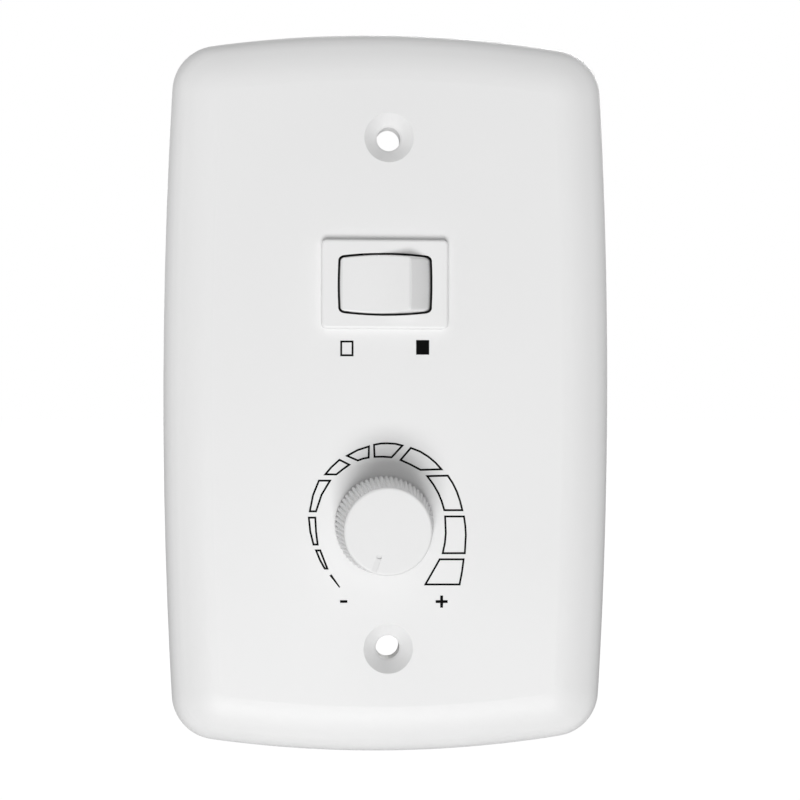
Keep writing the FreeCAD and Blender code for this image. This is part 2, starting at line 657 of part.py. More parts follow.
def outer_tab(side, sign):
    """Outer tab with a shelf on the housing floor, which carries the fixed tip."""
    x = tab_places()[side]
    shelf_end = CONTROLS_X + sign * (TIP_X - SHELF_REACH)
    shelf = block(
        min(x, shelf_end), max(x, shelf_end), shelf_front(), FLOOR_FRONT,
        SWITCH_Z - SEESAW_WIDTH / 2, SWITCH_Z + SEESAW_WIDTH / 2,
    )
    return tab_blade(x, shelf_front()).fuse(shelf).removeSplitter()


def left_tab():
    return outer_tab("left", -1)


def right_tab():
    return outer_tab("right", 1)


def pot_rod(radius, y0, y1):
    return rod_y(CONTROLS_X, KNOB_Z, radius, y0, y1)


def at_knob_rest(shape):
    return turned(shape, point(CONTROLS_X, 0, KNOB_Z), point(0, 1, 0), POINTER_ANGLE)


def pot_nut():
    nut = hexagon_y(CONTROLS_X, KNOB_Z, NUT_ACROSS_FLATS, NUT_FRONT, WASHER_FRONT)
    return nut.cut(pot_rod(BUSHING_DIAMETER / 2 + THREAD_CLEARANCE, NUT_FRONT, WASHER_FRONT))


def pot_washer():
    washer = pot_rod(WASHER_DIAMETER / 2, WASHER_FRONT, FACE)
    return washer.cut(pot_rod(BUSHING_DIAMETER / 2 + PANEL_CLEARANCE, WASHER_FRONT, FACE))


def pot_bushing():
    """Die-cast flange with its threaded neck and the lug that keeps it from turning."""
    solid = fused([
        pot_rod(FLANGE_DIAMETER / 2, BACK, WAFER_FRONT),
        pot_rod(BUSHING_DIAMETER / 2, BUSHING_FRONT, BACK),
        pot_lug(0),
    ])
    return solid.cut(pot_rod(SHAFT_DIAMETER / 2 + RUNNING_CLEARANCE, BUSHING_FRONT, WAFER_FRONT))


def shaft_section(clearance, y0, y1):
    """Round shaft with a flat on the side of the pointer."""
    radius = SHAFT_DIAMETER / 2 + clearance
    flat_z = KNOB_Z - SHAFT_DIAMETER / 2 + SHAFT_FLAT_DEPTH - clearance
    flat = block(CONTROLS_X - 2 * radius, CONTROLS_X + 2 * radius, y0, y1, KNOB_Z - 2 * radius, flat_z)
    return pot_rod(radius, y0, y1).cut(flat)


def pot_shaft():
    groove = pot_rod(SHAFT_DIAMETER, CLIP_FRONT, CLIP_REAR)
    groove = groove.cut(pot_rod(SHAFT_DIAMETER / 2 - CLIP_GROOVE_DEPTH, CLIP_FRONT, CLIP_REAR))
    solid = fused([
        shaft_section(0, SHAFT_FRONT, CLIP_FRONT),
        pot_rod(SHAFT_DIAMETER / 2, CLIP_FRONT, ROTOR_FRONT),
        pot_rod(SPIGOT_DIAMETER / 2, ROTOR_FRONT, ROTOR_REAR),
    ])
    return at_knob_rest(solid.cut(groove))


def shaft_clip():
    """Open ring in the shaft's groove, in front of the bushing."""
    inner = SHAFT_DIAMETER / 2 - CLIP_GROOVE_DEPTH
    ring = pot_rod(CLIP_DIAMETER / 2, CLIP_FRONT, CLIP_REAR).cut(pot_rod(inner, CLIP_FRONT, CLIP_REAR))
    mouth = block(
        CONTROLS_X - CLIP_MOUTH / 2, CONTROLS_X + CLIP_MOUTH / 2, CLIP_FRONT, CLIP_REAR,
        KNOB_Z, KNOB_Z + CLIP_DIAMETER,
    )
    return at_knob_rest(ring.cut(mouth))


def pot_rotor():
    rotor = pot_rod(ROTOR_DIAMETER / 2, ROTOR_FRONT, ROTOR_REAR)
    return rotor.cut(pot_rod(SPIGOT_DIAMETER / 2 + THREAD_CLEARANCE, ROTOR_FRONT, ROTOR_REAR))


def pot_wiper():
    """Spring ring on the rotor, with fingers that run on the wafer's track."""
    outer = ROTOR_DIAMETER / 2
    inner = WIPER_INNER / 2
    ring_front = ROTOR_FRONT - WIPER_THICKNESS
    shapes = [pot_rod(outer, ring_front, ROTOR_FRONT).cut(pot_rod(inner, ring_front, ROTOR_FRONT))]
    for sign in (-1, 1):
        x = CONTROLS_X + sign * (outer + inner) / 2
        shapes.append(rod_y(x, KNOB_Z, WIPER_FINGER, WAFER_REAR + RUNNING_CLEARANCE, ring_front))
    return at_knob_rest(fused(shapes))


def pot_wafer():
    """Laminated wafer with a tongue that carries the pins."""
    disc = pot_rod(FLANGE_DIAMETER / 2 - WAFER_CLEARANCE, WAFER_FRONT, WAFER_REAR)
    tongue = block(
        CONTROLS_X - TONGUE_WIDTH / 2, CONTROLS_X + TONGUE_WIDTH / 2, WAFER_FRONT, WAFER_REAR,
        KNOB_Z, KNOB_Z + TONGUE_REACH,
    )
    wafer = disc.fuse(tongue).removeSplitter()
    return wafer.cut(pot_rod(WAFER_HOLE / 2, WAFER_FRONT, WAFER_REAR))


def pot_pin_places():
    return [CONTROLS_X - PIN_SPACING, CONTROLS_X, CONTROLS_X + PIN_SPACING]


def pot_pin_top():
    return KNOB_Z + TONGUE_REACH + PIN_OVERHANG


def pot_pins():
    """Flat pins on the back of the tongue, bent back through the circuit board."""
    foot_z = KNOB_Z + FLANGE_DIAMETER / 2 + CASE_WALL + WAFER_CLEARANCE
    pins = []
    for x in pot_pin_places():
        left = x - PIN_WIDTH / 2
        right = x + PIN_WIDTH / 2
        foot = block(left, right, WAFER_REAR, WAFER_REAR + PIN_THICKNESS, foot_z, pot_pin_top())
        leg = block(
            left, right, WAFER_REAR, BOARD_REAR + LEAD_TAIL,
            pot_pin_top() - PIN_THICKNESS, pot_pin_top(),
        )
        pins.append(foot.fuse(leg).removeSplitter())
    return Part.makeCompound(pins)


def pot_case():
    """Pressed case over the flange and wafer, open at the tongue."""
    front = BACK + CASE_LIP
    inner = FLANGE_DIAMETER / 2 + THREAD_CLEARANCE
    rear = CASE_INNER + CASE_WALL
    case = pot_rod(inner + CASE_WALL, front, rear)
    case = case.makeFillet(CASE_REAR_RADIUS, edges_at_depth(case, rear))
    case = case.cut(pot_rod(inner, front, CASE_INNER))
    half = TONGUE_WIDTH / 2 + WAFER_CLEARANCE
    return case.cut(block(
        CONTROLS_X - half, CONTROLS_X + half, front, WAFER_REAR + WAFER_CLEARANCE,
        KNOB_Z, KNOB_Z + FLANGE_DIAMETER,
    ))


def knurl_outline(radius, depth, y):
    """Ring of flat crests with a groove between each two."""
    step = 360.0 / KNURL_COUNT
    half_crest = step * KNURL_CREST_SHARE / 2
    corners = []
    for i in range(KNURL_COUNT):
        crest = i * step
        for angle, reach in (
            (crest - half_crest, radius), (crest + half_crest, radius), (crest + step / 2, radius - depth)
        ):
            turn = math.radians(angle)
            x = CONTROLS_X + reach * math.cos(turn)
            corners.append(point(x, y, KNOB_Z + reach * math.sin(turn)))
    return Part.makePolygon(corners + corners[:1])


def knob():
    """Tapered knob with a knurled side, hollow round a flatted hub, and a pointer groove in its top."""
    base_radius = KNOB_BASE_DIAMETER / 2
    top_radius = KNOB_TOP_DIAMETER / 2
    rim_rear = KNOB_FRONT + KNOB_RIM_HEIGHT
    side = Part.makeLoft([
        knurl_outline(base_radius, KNURL_BASE_DEPTH, KNOB_BASE),
        knurl_outline(top_radius, KNURL_TOP_DEPTH, rim_rear),
    ], True, True)
    rim = pot_rod(top_radius, KNOB_FRONT, rim_rear)
    rim = rim.makeFillet(KNOB_RIM_RADIUS, edges_at_depth(rim, KNOB_FRONT))
    solid = side.fuse(rim)

    roof = KNOB_FRONT + KNOB_ROOF
    hollow = Part.makeCone(
        top_radius - KNURL_TOP_DEPTH - KNOB_WALL, base_radius - KNURL_BASE_DEPTH - KNOB_WALL,
        KNOB_BASE - roof, point(CONTROLS_X, roof, KNOB_Z), point(0, 1, 0),
    )
    hub_radius = SHAFT_DIAMETER / 2 + HUB_WALL
    hollow = hollow.cut(pot_rod(hub_radius, roof, HUB_REAR))
    for half_x, half_z in ((HUB_WEB / 2, top_radius), (top_radius, HUB_WEB / 2)):
        hollow = hollow.cut(block(
            CONTROLS_X - half_x, CONTROLS_X + half_x, roof, HUB_REAR, KNOB_Z - half_z, KNOB_Z + half_z
        ))
    solid = solid.cut(hollow)
    solid = solid.cut(shaft_section(THREAD_CLEARANCE, SHAFT_FRONT - AXIAL_CLEARANCE, HUB_REAR))
    groove = block(
        CONTROLS_X - POINTER_WIDTH / 2, CONTROLS_X + POINTER_WIDTH / 2,
        KNOB_FRONT, KNOB_FRONT + POINTER_DEPTH,
        KNOB_Z - KNOB_TOP_DIAMETER, KNOB_Z - POINTER_START,
    )
    dimple_end = KNOB_FRONT + POINTER_DIMPLE
    dimple = rod_y(CONTROLS_X, KNOB_Z - POINTER_START, POINTER_WIDTH / 2, KNOB_FRONT, dimple_end)
    return at_knob_rest(solid.cut(groove.fuse(dimple)))


def block_bottom():
    return BOARD_BOTTOM_Z + BLOCK_EDGE_INSET


def way_places():
    return [(i - (WAY_COUNT - 1) / 2) * WAY_SPACING for i in range(WAY_COUNT)]


def clamp_span():
    """Front and back ends of a clamp along its chamber."""
    start = block_bottom() + CHAMBER_DEPTH - CLAMP_LENGTH
    return start, start + CLAMP_LENGTH


def clamp_centre():
    return sum(clamp_span()) / 2


def chamber_floor():
    return BOARD_REAR + CHAMBER_FLOOR


def triac_hole_y():
    return BOARD_REAR + TRIAC_LIFT + TRIAC_BODY_HEIGHT + TRIAC_TAB_HEIGHT - TRIAC_HOLE_DROP


def triac_lead_places():
    x = SINK_X + LEAD_INSET
    return [(x, TRIAC_Z + i * LEAD_SPACING) for i in (-1, 0, 1)]


def lead_holes():
    """Place and lead diameter of every hole that a lead goes through."""
    pin_z = pot_pin_top() - PIN_THICKNESS / 2
    holes = [(x, pin_z, math.hypot(PIN_WIDTH, PIN_THICKNESS)) for x in pot_pin_places()]
    holes += [(x, clamp_centre(), CLAMP_PIN) for x in way_places()]
    holes += [(x, z, math.hypot(LEAD_WIDTH, LEAD_THICKNESS)) for x, z in triac_lead_places()]
    for place, leads in ((SNUBBER_PLACE, SNUBBER_LEADS), (TIMING_PLACE, TIMING_LEADS)):
        holes += [(place[0] + s * leads / 2, place[1], CAPACITOR_WIRE) for s in (-1, 1)]
    for z in RESISTOR_ROWS:
        holes += [(RESISTOR_X + s * RESISTOR_LEADS / 2, z, RESISTOR_WIRE) for s in (-1, 1)]
    holes += [(DIAC_X, DIAC_Z + s * DIAC_LEADS / 2, DIAC_WIRE) for s in (-1, 1)]
    return holes


def circuit_board():
    half = BOARD_WIDTH / 2
    board = block(-half, half, BOARD_FRONT, BOARD_REAR, BOARD_BOTTOM_Z, BOARD_TOP_Z)
    drills = [rod_y(x, z, d / 2 + LEAD_CLEARANCE, BOARD_FRONT, BOARD_REAR) for x, z, d in lead_holes()]
    for x, z in board_screw_places():
        drills.append(rod_y(x, z, BOARD_SCREW_DIAMETER / 2 + PANEL_CLEARANCE, BOARD_FRONT, BOARD_REAR))
    return board.cut(Part.makeCompound(drills))


def board_screws():
    screws = []
    for x, z in board_screw_places():
        shank = rod_y(
            x, z, BOARD_SCREW_DIAMETER / 2 - THREAD_CLEARANCE,
            BOARD_FRONT - BOARD_SCREW_LENGTH + LEAD_TAIL, BOARD_REAR,
        )
        head = rod_y(x, z, BOARD_SCREW_HEAD / 2, BOARD_REAR, BOARD_REAR + BOARD_SCREW_HEAD_HEIGHT)
        screws.append(shank.fuse(head).removeSplitter())
    return Part.makeCompound(screws)


def terminal_block():
    """Moulded block with one wire chamber and one screw hole for each way."""
    top = BOARD_REAR + BLOCK_HEIGHT
    low = block_bottom()
    high = low + BLOCK_DEPTH
    half = WAY_COUNT * WAY_SPACING / 2
    outline = [
        point(-half, BOARD_REAR, low),
        point(-half, chamber_floor() + CHAMBER_HEIGHT, low),
        point(-half, top, low + BLOCK_CHAMFER / 2),
        point(-half, top, high - BLOCK_CHAMFER),
        point(-half, top - BLOCK_CHAMFER, high),
        point(-half, BOARD_REAR, high),
    ]
    solid = Part.Face(Part.makePolygon(outline + outline[:1])).extrude(point(2 * half, 0, 0))
    roof = chamber_floor() + CHAMBER_HEIGHT
    screw_hole = CLAMP_SCREW_HEAD / 2 + CLAMP_CLEARANCE
    pin_hole = CLAMP_PIN / 2 + LEAD_CLEARANCE
    for x in way_places():
        solid = solid.cut(block(
            x - CHAMBER_WIDTH / 2, x + CHAMBER_WIDTH / 2, chamber_floor(), roof, low, low + CHAMBER_DEPTH
        ))
        solid = solid.cut(rod_y(x, clamp_centre(), screw_hole, roof, top))
        solid = solid.cut(rod_y(x, clamp_centre(), pin_hole, BOARD_REAR, chamber_floor()))
    return solid


def terminal_clamps():
    """Brass cages with a solder pin below and the clamping screw's thread above."""
    start, end = clamp_span()
    half = CHAMBER_WIDTH / 2 - CLAMP_CLEARANCE
    roof = chamber_floor() + CHAMBER_HEIGHT - CLAMP_CLEARANCE
    ceiling = roof - 2 * CLAMP_WALL
    thread = CLAMP_SCREW / 2 + THREAD_CLEARANCE
    clamps = []
    for x in way_places():
        cage = block(x - half, x + half, chamber_floor(), roof, start, end)
        cage = cage.cut(block(
            x - half + CLAMP_WALL, x + half - CLAMP_WALL,
            chamber_floor() + CLAMP_WALL, ceiling, start, end,
        ))
        cage = cage.cut(rod_y(x, clamp_centre(), thread, ceiling, roof))
        pin = rod_y(x, clamp_centre(), CLAMP_PIN / 2, LEAD_END, chamber_floor())
        clamps.append(cage.fuse(pin).removeSplitter())
    return Part.makeCompound(clamps)


def terminal_screws():
    roof = chamber_floor() + CHAMBER_HEIGHT
    screws = []
    for x in way_places():
        shank = rod_y(x, clamp_centre(), CLAMP_SCREW / 2, roof - 3 * CLAMP_WALL, roof)
        head = rod_y(x, clamp_centre(), CLAMP_SCREW_HEAD / 2, roof, roof + CLAMP_SCREW_HEAD_HEIGHT)
        screws.append(shank.fuse(head).removeSplitter())
    return Part.makeCompound(screws)


def triac():
    """Moulded triac with its metal tab on the heat sink and its leads in the board."""
    foot = BOARD_REAR + TRIAC_LIFT
    shoulder = foot + TRIAC_BODY_HEIGHT
    half = TRIAC_WIDTH / 2
    shapes = [
        block(SINK_X, SINK_X + TRIAC_THICKNESS, foot, shoulder, TRIAC_Z - half, TRIAC_Z + half),
        block(
            SINK_X, SINK_X + TRIAC_TAB_THICKNESS, shoulder, shoulder + TRIAC_TAB_HEIGHT,
            TRIAC_Z - half, TRIAC_Z + half,
        ),
    ]
    for x, z in triac_lead_places():
        shapes.append(block(
            x - LEAD_THICKNESS / 2, x + LEAD_THICKNESS / 2, LEAD_END, foot,
            z - LEAD_WIDTH / 2, z + LEAD_WIDTH / 2,
        ))
    tab_front = SINK_X + TRIAC_TAB_THICKNESS
    return fused(shapes).cut(rod_x(triac_hole_y(), TRIAC_Z, TRIAC_HOLE / 2, SINK_X, tab_front))


def heat_sink():
    """Folded aluminium channel that stands on the board."""
    top = BOARD_REAR + SINK_HEIGHT
    half = SINK_WIDTH / 2
    outer = block(SINK_X - SINK_FLANGE, SINK_X, BOARD_REAR, top, TRIAC_Z - half, TRIAC_Z + half)
    bends = [
        e for e in outer.Edges
        if all(abs(v.X - SINK_X) < 1e-6 for v in e.Vertexes)
        and abs(e.Vertexes[0].Y - e.Vertexes[-1].Y) > SINK_WALL
    ]
    outer = outer.makeFillet(SINK_BEND, bends)
    half -= SINK_WALL
    channel = outer.cut(block(
        SINK_X - SINK_FLANGE, SINK_X - SINK_WALL, BOARD_REAR, top, TRIAC_Z - half, TRIAC_Z + half
    ))
    return channel.cut(rod_x(
        triac_hole_y(), TRIAC_Z, SINK_SCREW / 2 + LEAD_CLEARANCE, SINK_X - SINK_WALL, SINK_X
    ))


def heat_sink_screw():
    seat = SINK_X + TRIAC_TAB_THICKNESS
    tail = SINK_X - SINK_WALL - SINK_NUT_THICKNESS - SINK_SCREW_TAIL
    shank = rod_x(triac_hole_y(), TRIAC_Z, SINK_SCREW / 2, tail, seat)
    head = rod_x(triac_hole_y(), TRIAC_Z, SINK_SCREW_HEAD / 2, seat, seat + SINK_SCREW_HEAD_HEIGHT)
    return shank.fuse(head).removeSplitter()


def heat_sink_nut():
    seat = SINK_X - SINK_WALL
    nut = hexagon_y(0, 0, SINK_NUT_FLATS, 0, SINK_NUT_THICKNESS)
    nut = nut.cut(rod_y(0, 0, SINK_SCREW / 2 + THREAD_CLEARANCE, 0, SINK_NUT_THICKNESS))
    nut.rotate(point(0, 0, 0), point(0, 0, 1), 90)
    nut.translate(point(seat, triac_hole_y(), TRIAC_Z))
    return nut


def film_capacitor(size, place, leads):
    """Box-cased capacitor with two wire leads."""
    width, height, thickness = size
    x, z = place
    case = block(
        x - width / 2, x + width / 2, BOARD_REAR, BOARD_REAR + height,
        z - thickness / 2, z + thickness / 2,
    )
    rounded = [e for e in case.Edges if max(v.Y for v in e.Vertexes) > BOARD_REAR + height / 2]
    shapes = [case.makeFillet(CASE_EDGE_RADIUS, rounded)]
    for sign in (-1, 1):
        shapes.append(rod_y(x + sign * leads / 2, z, CAPACITOR_WIRE / 2, LEAD_END, BOARD_REAR))
    return fused(shapes)


def snubber_capacitor():
    return film_capacitor(SNUBBER_SIZE, SNUBBER_PLACE, SNUBBER_LEADS)


def timing_capacitor():
    return film_capacitor(TIMING_SIZE, TIMING_PLACE, TIMING_LEADS)


def axial_part(x, z, length, diameter, leads, wire, cap_share):
    """Body on a wire that turns down into the board at both ends."""
    axis_y = BOARD_REAR + diameter / 2 + AXIAL_LIFT
    low = axis_y - WIRE_BEND
    arc = WIRE_BEND * math.sqrt(0.5)
    half = leads / 2
    left = x - half
    right = x + half
    left_foot = point(left, low, z)
    left_top = point(left + WIRE_BEND, axis_y, z)
    right_foot = point(right, low, z)
    right_top = point(right - WIRE_BEND, axis_y, z)
    path = Part.Wire([
        Part.makeLine(point(left, LEAD_END, z), left_foot),
        Part.Arc(left_foot, point(left + WIRE_BEND - arc, low + arc, z), left_top).toShape(),
        Part.makeLine(left_top, right_top),
        Part.Arc(right_top, point(right - WIRE_BEND + arc, low + arc, z), right_foot).toShape(),
        Part.makeLine(right_foot, point(right, LEAD_END, z)),
    ])
    section = Part.Wire(Part.makeCircle(wire / 2, point(left, LEAD_END, z), point(0, 1, 0)))
    lead = path.makePipeShell([section], True, False)
    waist = diameter / 2 * cap_share
    cap = length / 4
    shapes = [lead, rod_x(axis_y, z, waist, x - length / 2, x + length / 2)]
    for start in (x - length / 2, x + length / 2 - cap):
        shapes.append(rod_x(axis_y, z, diameter / 2, start, start + cap))
    return fused(shapes)


def resistors():
    rows = []
    for z in RESISTOR_ROWS:
        rows.append(axial_part(
            RESISTOR_X, z, RESISTOR_LENGTH, RESISTOR_DIAMETER,
            RESISTOR_LEADS, RESISTOR_WIRE, RESISTOR_WAIST,
        ))
    return Part.makeCompound(rows)


def diac():
    part = axial_part(DIAC_X, DIAC_Z, DIAC_LENGTH, DIAC_DIAMETER, DIAC_LEADS, DIAC_WIRE, DIAC_WAIST)
    return turned(part, point(DIAC_X, 0, DIAC_Z), point(0, 1, 0), 90)


PIECES = [
    face_plate, switch_housing, rocker, rocker_spring, spring_plunger, seesaw_contact, moving_contact_tips,
    fixed_contact_tips, common_tab, left_tab, right_tab, knob, pot_nut, pot_washer, pot_bushing, pot_shaft,
    shaft_clip, pot_rotor, pot_wiper, pot_wafer, pot_pins, pot_case, circuit_board, board_screws,
    terminal_block, terminal_clamps, terminal_screws, triac, heat_sink, heat_sink_screw, heat_sink_nut,
    snubber_capacitor, timing_capacitor, resistors, diac,
]

os.makedirs("parts", exist_ok=True)
for piece in PIECES:
    piece().exportStep("parts/" + piece.__name__ + ".step")
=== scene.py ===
import bpy
from math import atan, cos, pi, radians, sin
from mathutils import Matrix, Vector


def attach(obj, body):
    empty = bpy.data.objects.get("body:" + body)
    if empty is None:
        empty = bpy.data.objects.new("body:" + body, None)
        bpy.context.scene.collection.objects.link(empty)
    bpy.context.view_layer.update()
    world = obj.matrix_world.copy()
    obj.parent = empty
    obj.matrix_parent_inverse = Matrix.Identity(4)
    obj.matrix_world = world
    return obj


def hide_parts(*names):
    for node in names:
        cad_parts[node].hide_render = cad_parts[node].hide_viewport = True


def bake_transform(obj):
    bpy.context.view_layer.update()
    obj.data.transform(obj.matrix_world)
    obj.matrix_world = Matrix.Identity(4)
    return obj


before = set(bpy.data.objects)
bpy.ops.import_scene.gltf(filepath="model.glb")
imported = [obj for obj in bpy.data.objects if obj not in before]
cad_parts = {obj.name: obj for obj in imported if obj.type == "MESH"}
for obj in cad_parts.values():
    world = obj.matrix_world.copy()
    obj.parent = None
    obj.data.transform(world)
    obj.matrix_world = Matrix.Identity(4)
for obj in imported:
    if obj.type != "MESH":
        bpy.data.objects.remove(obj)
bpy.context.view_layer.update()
bpy.context.scene.view_settings.view_transform = "Standard"


# Face plate: one hollow moulding in white thermoplastic, cored out behind to a thin wall with ribs.
# Its front has a satin skin from the polished mould; the cored side is duller, with a faint grain.
MM = 0.001


class Shade:
    """One output of a finish's nodes. Arithmetic and comparison on it add Math nodes."""

    def __init__(self, tree, socket=None):
        self.tree = tree
        self.socket = socket

    def node(self, kind, settings, sockets, out=0):
        made = self.tree.nodes.new(kind)
        for key, value in settings.items():
            setattr(made, key, value)
        for key, value in sockets.items():
            if isinstance(value, Shade):
                self.tree.links.new(value.socket, made.inputs[key])
            else:
                made.inputs[key].default_value = value
        if isinstance(out, tuple):
            return [Shade(self.tree, made.outputs[each]) for each in out]
        return Shade(self.tree, made.outputs[out] if len(made.outputs) else None)

    def math(self, operation, a, b=0.0):
        return self.node("ShaderNodeMath", {"operation": operation}, {0: a, 1: b})

    def __add__(self, other):
        return self.math("ADD", self, other)

    def __sub__(self, other):
        return self.math("SUBTRACT", self, other)

    def __rsub__(self, other):
        return self.math("SUBTRACT", other, self)

    def __mul__(self, other):
        return self.math("MULTIPLY", self, other)

    def __gt__(self, other):
        return self.math("GREATER_THAN", self, other)

    def __lt__(self, other):
        return self.math("LESS_THAN", self, other)

    def __abs__(self):
        return self.math("ABSOLUTE", self)

    __radd__ = __add__
    __rmul__ = __mul__

    def noise(self, place, scale, detail=2.0):
        return self.node("ShaderNodeTexNoise", {}, {"Vector": place, "Scale": scale, "Detail": detail})

    def stretched(self, place, scale):
        return self.node("ShaderNodeMapping", {}, {"Vector": place, "Scale": scale})

    def axes(self, place):
        return self.node("ShaderNodeSeparateXYZ", {}, {"Vector": place}, out=(0, 1, 2))

    def from_axis(self, place, middle, sides):
        """Distance from a straight axis through a point; sides has 0 along the axis and 1 across it."""
        offset = self.node("ShaderNodeVectorMath", {"operation": "SUBTRACT"}, {0: place, 1: middle})
        across = self.node("ShaderNodeVectorMath", {"operation": "MULTIPLY"}, {0: offset, 1: sides})
        return self.node("ShaderNodeVectorMath", {"operation": "LENGTH"}, {0: across}, out=1)

    def ramp(self, value, start, end):
        return self.node("ShaderNodeMapRange", {}, {"Value": value, "From Min": start, "From Max": end})

    def blend(self, share, low, high):
        ends = {key: tone if isinstance(tone, Shade) else (*tone, 1) for key, tone in ((6, low), (7, high))}
        return self.node("ShaderNodeMix", {"data_type": "RGBA"}, {0: share, **ends}, out=2)

    def bump(self, height, strength, distance):
        return self.node("ShaderNodeBump", {}, {"Height": height, "Strength": strength, "Distance": distance})


def start_finish(name):
    material = bpy.data.materials.new(name)
    material.use_nodes = True
    material.node_tree.nodes.clear()
    base = Shade(material.node_tree)
    return material, base, base.node("ShaderNodeTexCoord", {}, {}, out="Object")


def end_finish(base, **sockets):
    named = {key.replace("_", " "): value for key, value in sockets.items()}
    surface = base.node("ShaderNodeBsdfPrincipled", {}, named)
    base.node("ShaderNodeOutputMaterial", {}, {"Surface": surface})


def dress(material, *nodes):
    for node in nodes:
        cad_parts[node].material_slots[0].material = material


def shade_of(colour, share):
    return tuple(share * part for part in colour)


PLATE_WHITE = (0.83, 0.83, 0.83)
CORE_HALF_WIDTH = 29.4 * MM
CORE_HALF_LENGTH = 51.9 * MM
CORE_SIDE_BOW = 0.568
CORE_END_BOW = 2.583
CORE_CORNER = 5.0 * MM
CORE_FRONT = -7.2 * MM
material, base, place = start_finish("plate_white")
across, inward, upward = base.axes(place)
drift = base.noise(place, 30.0)
grain = base.noise(place, 7000.0, 3.0)
past_side = base.math("MAXIMUM", abs(across) + CORE_SIDE_BOW * upward * upward - CORE_HALF_WIDTH, 0.0)
past_end = base.math("MAXIMUM", abs(upward) + CORE_END_BOW * across * across - CORE_HALF_LENGTH, 0.0)
inside_skirt = base.math("SQRT", past_side * past_side + past_end * past_end) < CORE_CORNER
cored = inside_skirt * (inward > CORE_FRONT)
dust = base.noise(place, 160.0, 6.0)
front = base.blend(drift, shade_of(PLATE_WHITE, 0.97), PLATE_WHITE)
end_finish(
    base, Base_Color=base.blend(0.5 * cored * dust, front, shade_of(PLATE_WHITE, 0.8)),
    Roughness=0.46 + 0.12 * (drift - 0.5) + 0.14 * cored, Normal=base.bump(grain, 0.05, 0.02 * MM),
)
dress(material, "face_plate")


# Printed marks: the switch's two squares, the low and high signs and the growing speed scale.
# They are screen printed straight on the face in one dense black ink film.
FACE_MM = 9.0
INK_PROUD_MM = 0.03
INK_SUNK_MM = 0.01
LINE_MM = 0.31


def faces_outward():
    """Turn all faces of the mesh in edit mode outwards and leave edit mode."""
    bpy.ops.mesh.select_all(action="SELECT")
    bpy.ops.mesh.normals_make_consistent(inside=False)
    bpy.ops.object.mode_set(mode="OBJECT")


def ink_shape(corners, line=None):
    """One printed shape from its corners in mm across and up the face, or just its outline."""
    bpy.ops.object.select_all(action="DESELECT")
    bpy.ops.mesh.primitive_circle_add(vertices=len(corners), radius=MM, fill_type="NGON")
    shape = bpy.context.object
    for corner, (x, z) in zip(shape.data.vertices, corners):
        corner.co = Vector((x, INK_SUNK_MM - FACE_MM, z)) * MM
    bpy.ops.object.mode_set(mode="EDIT")
    bpy.ops.mesh.select_all(action="SELECT")
    if line:
        bpy.ops.mesh.inset(thickness=line * MM, use_even_offset=True)
        bpy.ops.mesh.delete(type="FACE")
        bpy.ops.mesh.select_all(action="SELECT")
    thick = (INK_PROUD_MM + INK_SUNK_MM) * MM
    bpy.ops.mesh.extrude_region_move(TRANSFORM_OT_translate={"value": (0, -thick, 0)})
    faces_outward()
    return shape


def bar(x, z, width, height):
    right, top = width / 2, height / 2
    return [(x - right, z - top), (x + right, z - top), (x + right, z + top), (x - right, z + top)]


def joined(name, pieces):
    bpy.ops.object.select_all(action="DESELECT")
    for piece in pieces:
        piece.select_set(True)
    bpy.context.view_layer.objects.active = pieces[0]
    bpy.ops.object.join()
    pieces[0].name = name
    return pieces[0]


SCALE_STEPS_MM = [
    [(-11.31, -27.21), (-10.48, -28.7), (-9.75, -28.7), (-10.42, -26.97), (-11.02, -25.44),
     (-12.03, -25.44)],
    [(-12.9, -22.55), (-12.35, -24.78), (-11.37, -24.78), (-11.66, -22.52), (-11.79, -20.09),
     (-13.16, -20.09)],
    [(-12.45, -16.51), (-13.02, -19.37), (-11.71, -19.37), (-10.79, -16.61), (-9.28, -14.07),
     (-11.46, -14.06)],
    [(-9.43, -11.9), (-10.64, -13.34), (-8.48, -13.37), (-7.36, -12.48), (-6.13, -11.6), (-8.04, -10.64)],
    [(-5.03, -11.1), (-4.1, -10.77), (-3.1, -10.59), (-3.05, -8.42), (-5.13, -9.1), (-7.13, -10.19)],
    [(-2.45, -10.5), (-0.92, -10.47), (0.55, -10.58), (2.54, -8.42), (1.11, -8.06), (-0.19, -7.98),
     (-1.29, -8.01), (-2.55, -8.25)],
    [(1.71, -10.91), (3.49, -11.72), (5.19, -12.63), (8.99, -12.53), (7.74, -11.14), (6.53, -10.15),
     (5.19, -9.32), (3.59, -8.7)],
    [(7.22, -14.97), (8.03, -16.38), (8.58, -17.72), (9.02, -19.23), (12.3, -19.24), (11.86, -17.51),
     (11.34, -16.0), (10.67, -14.62), (9.78, -13.27), (6.02, -13.35)],
    [(9.24, -22.86), (9.08, -24.48), (8.7, -26.27), (12.67, -26.28), (12.84, -23.15), (12.75, -21.64),
     (12.51, -19.96), (9.11, -19.95)],
    [(7.11, -29.07), (5.8, -31.37), (11.8, -31.41), (12.2, -29.31), (12.51, -26.98), (8.31, -26.96)],
]
FIRST_STEP_MM = [(-9.62, -29.68), (-8.02, -31.7), (-7.86, -31.58), (-9.28, -29.5)]
PLUS_MM = [
    (7.75, -34.27), (8.5, -34.27), (8.5, -35.03), (8.96, -35.03), (8.96, -34.27), (9.72, -34.27),
    (9.72, -33.81), (8.96, -33.81), (8.96, -33.05), (8.5, -33.05), (8.5, -33.81), (7.75, -33.81),
]
MINUS_MM = bar(-7.29, -33.94, 1.19, 0.43)
OPEN_SQUARE_MM = bar(-6.84, 7.33, 2.16, 2.55)
FULL_SQUARE_MM = bar(5.54, 7.54, 2.14, 2.38)
steps = [ink_shape(corners, LINE_MM) for corners in SCALE_STEPS_MM]
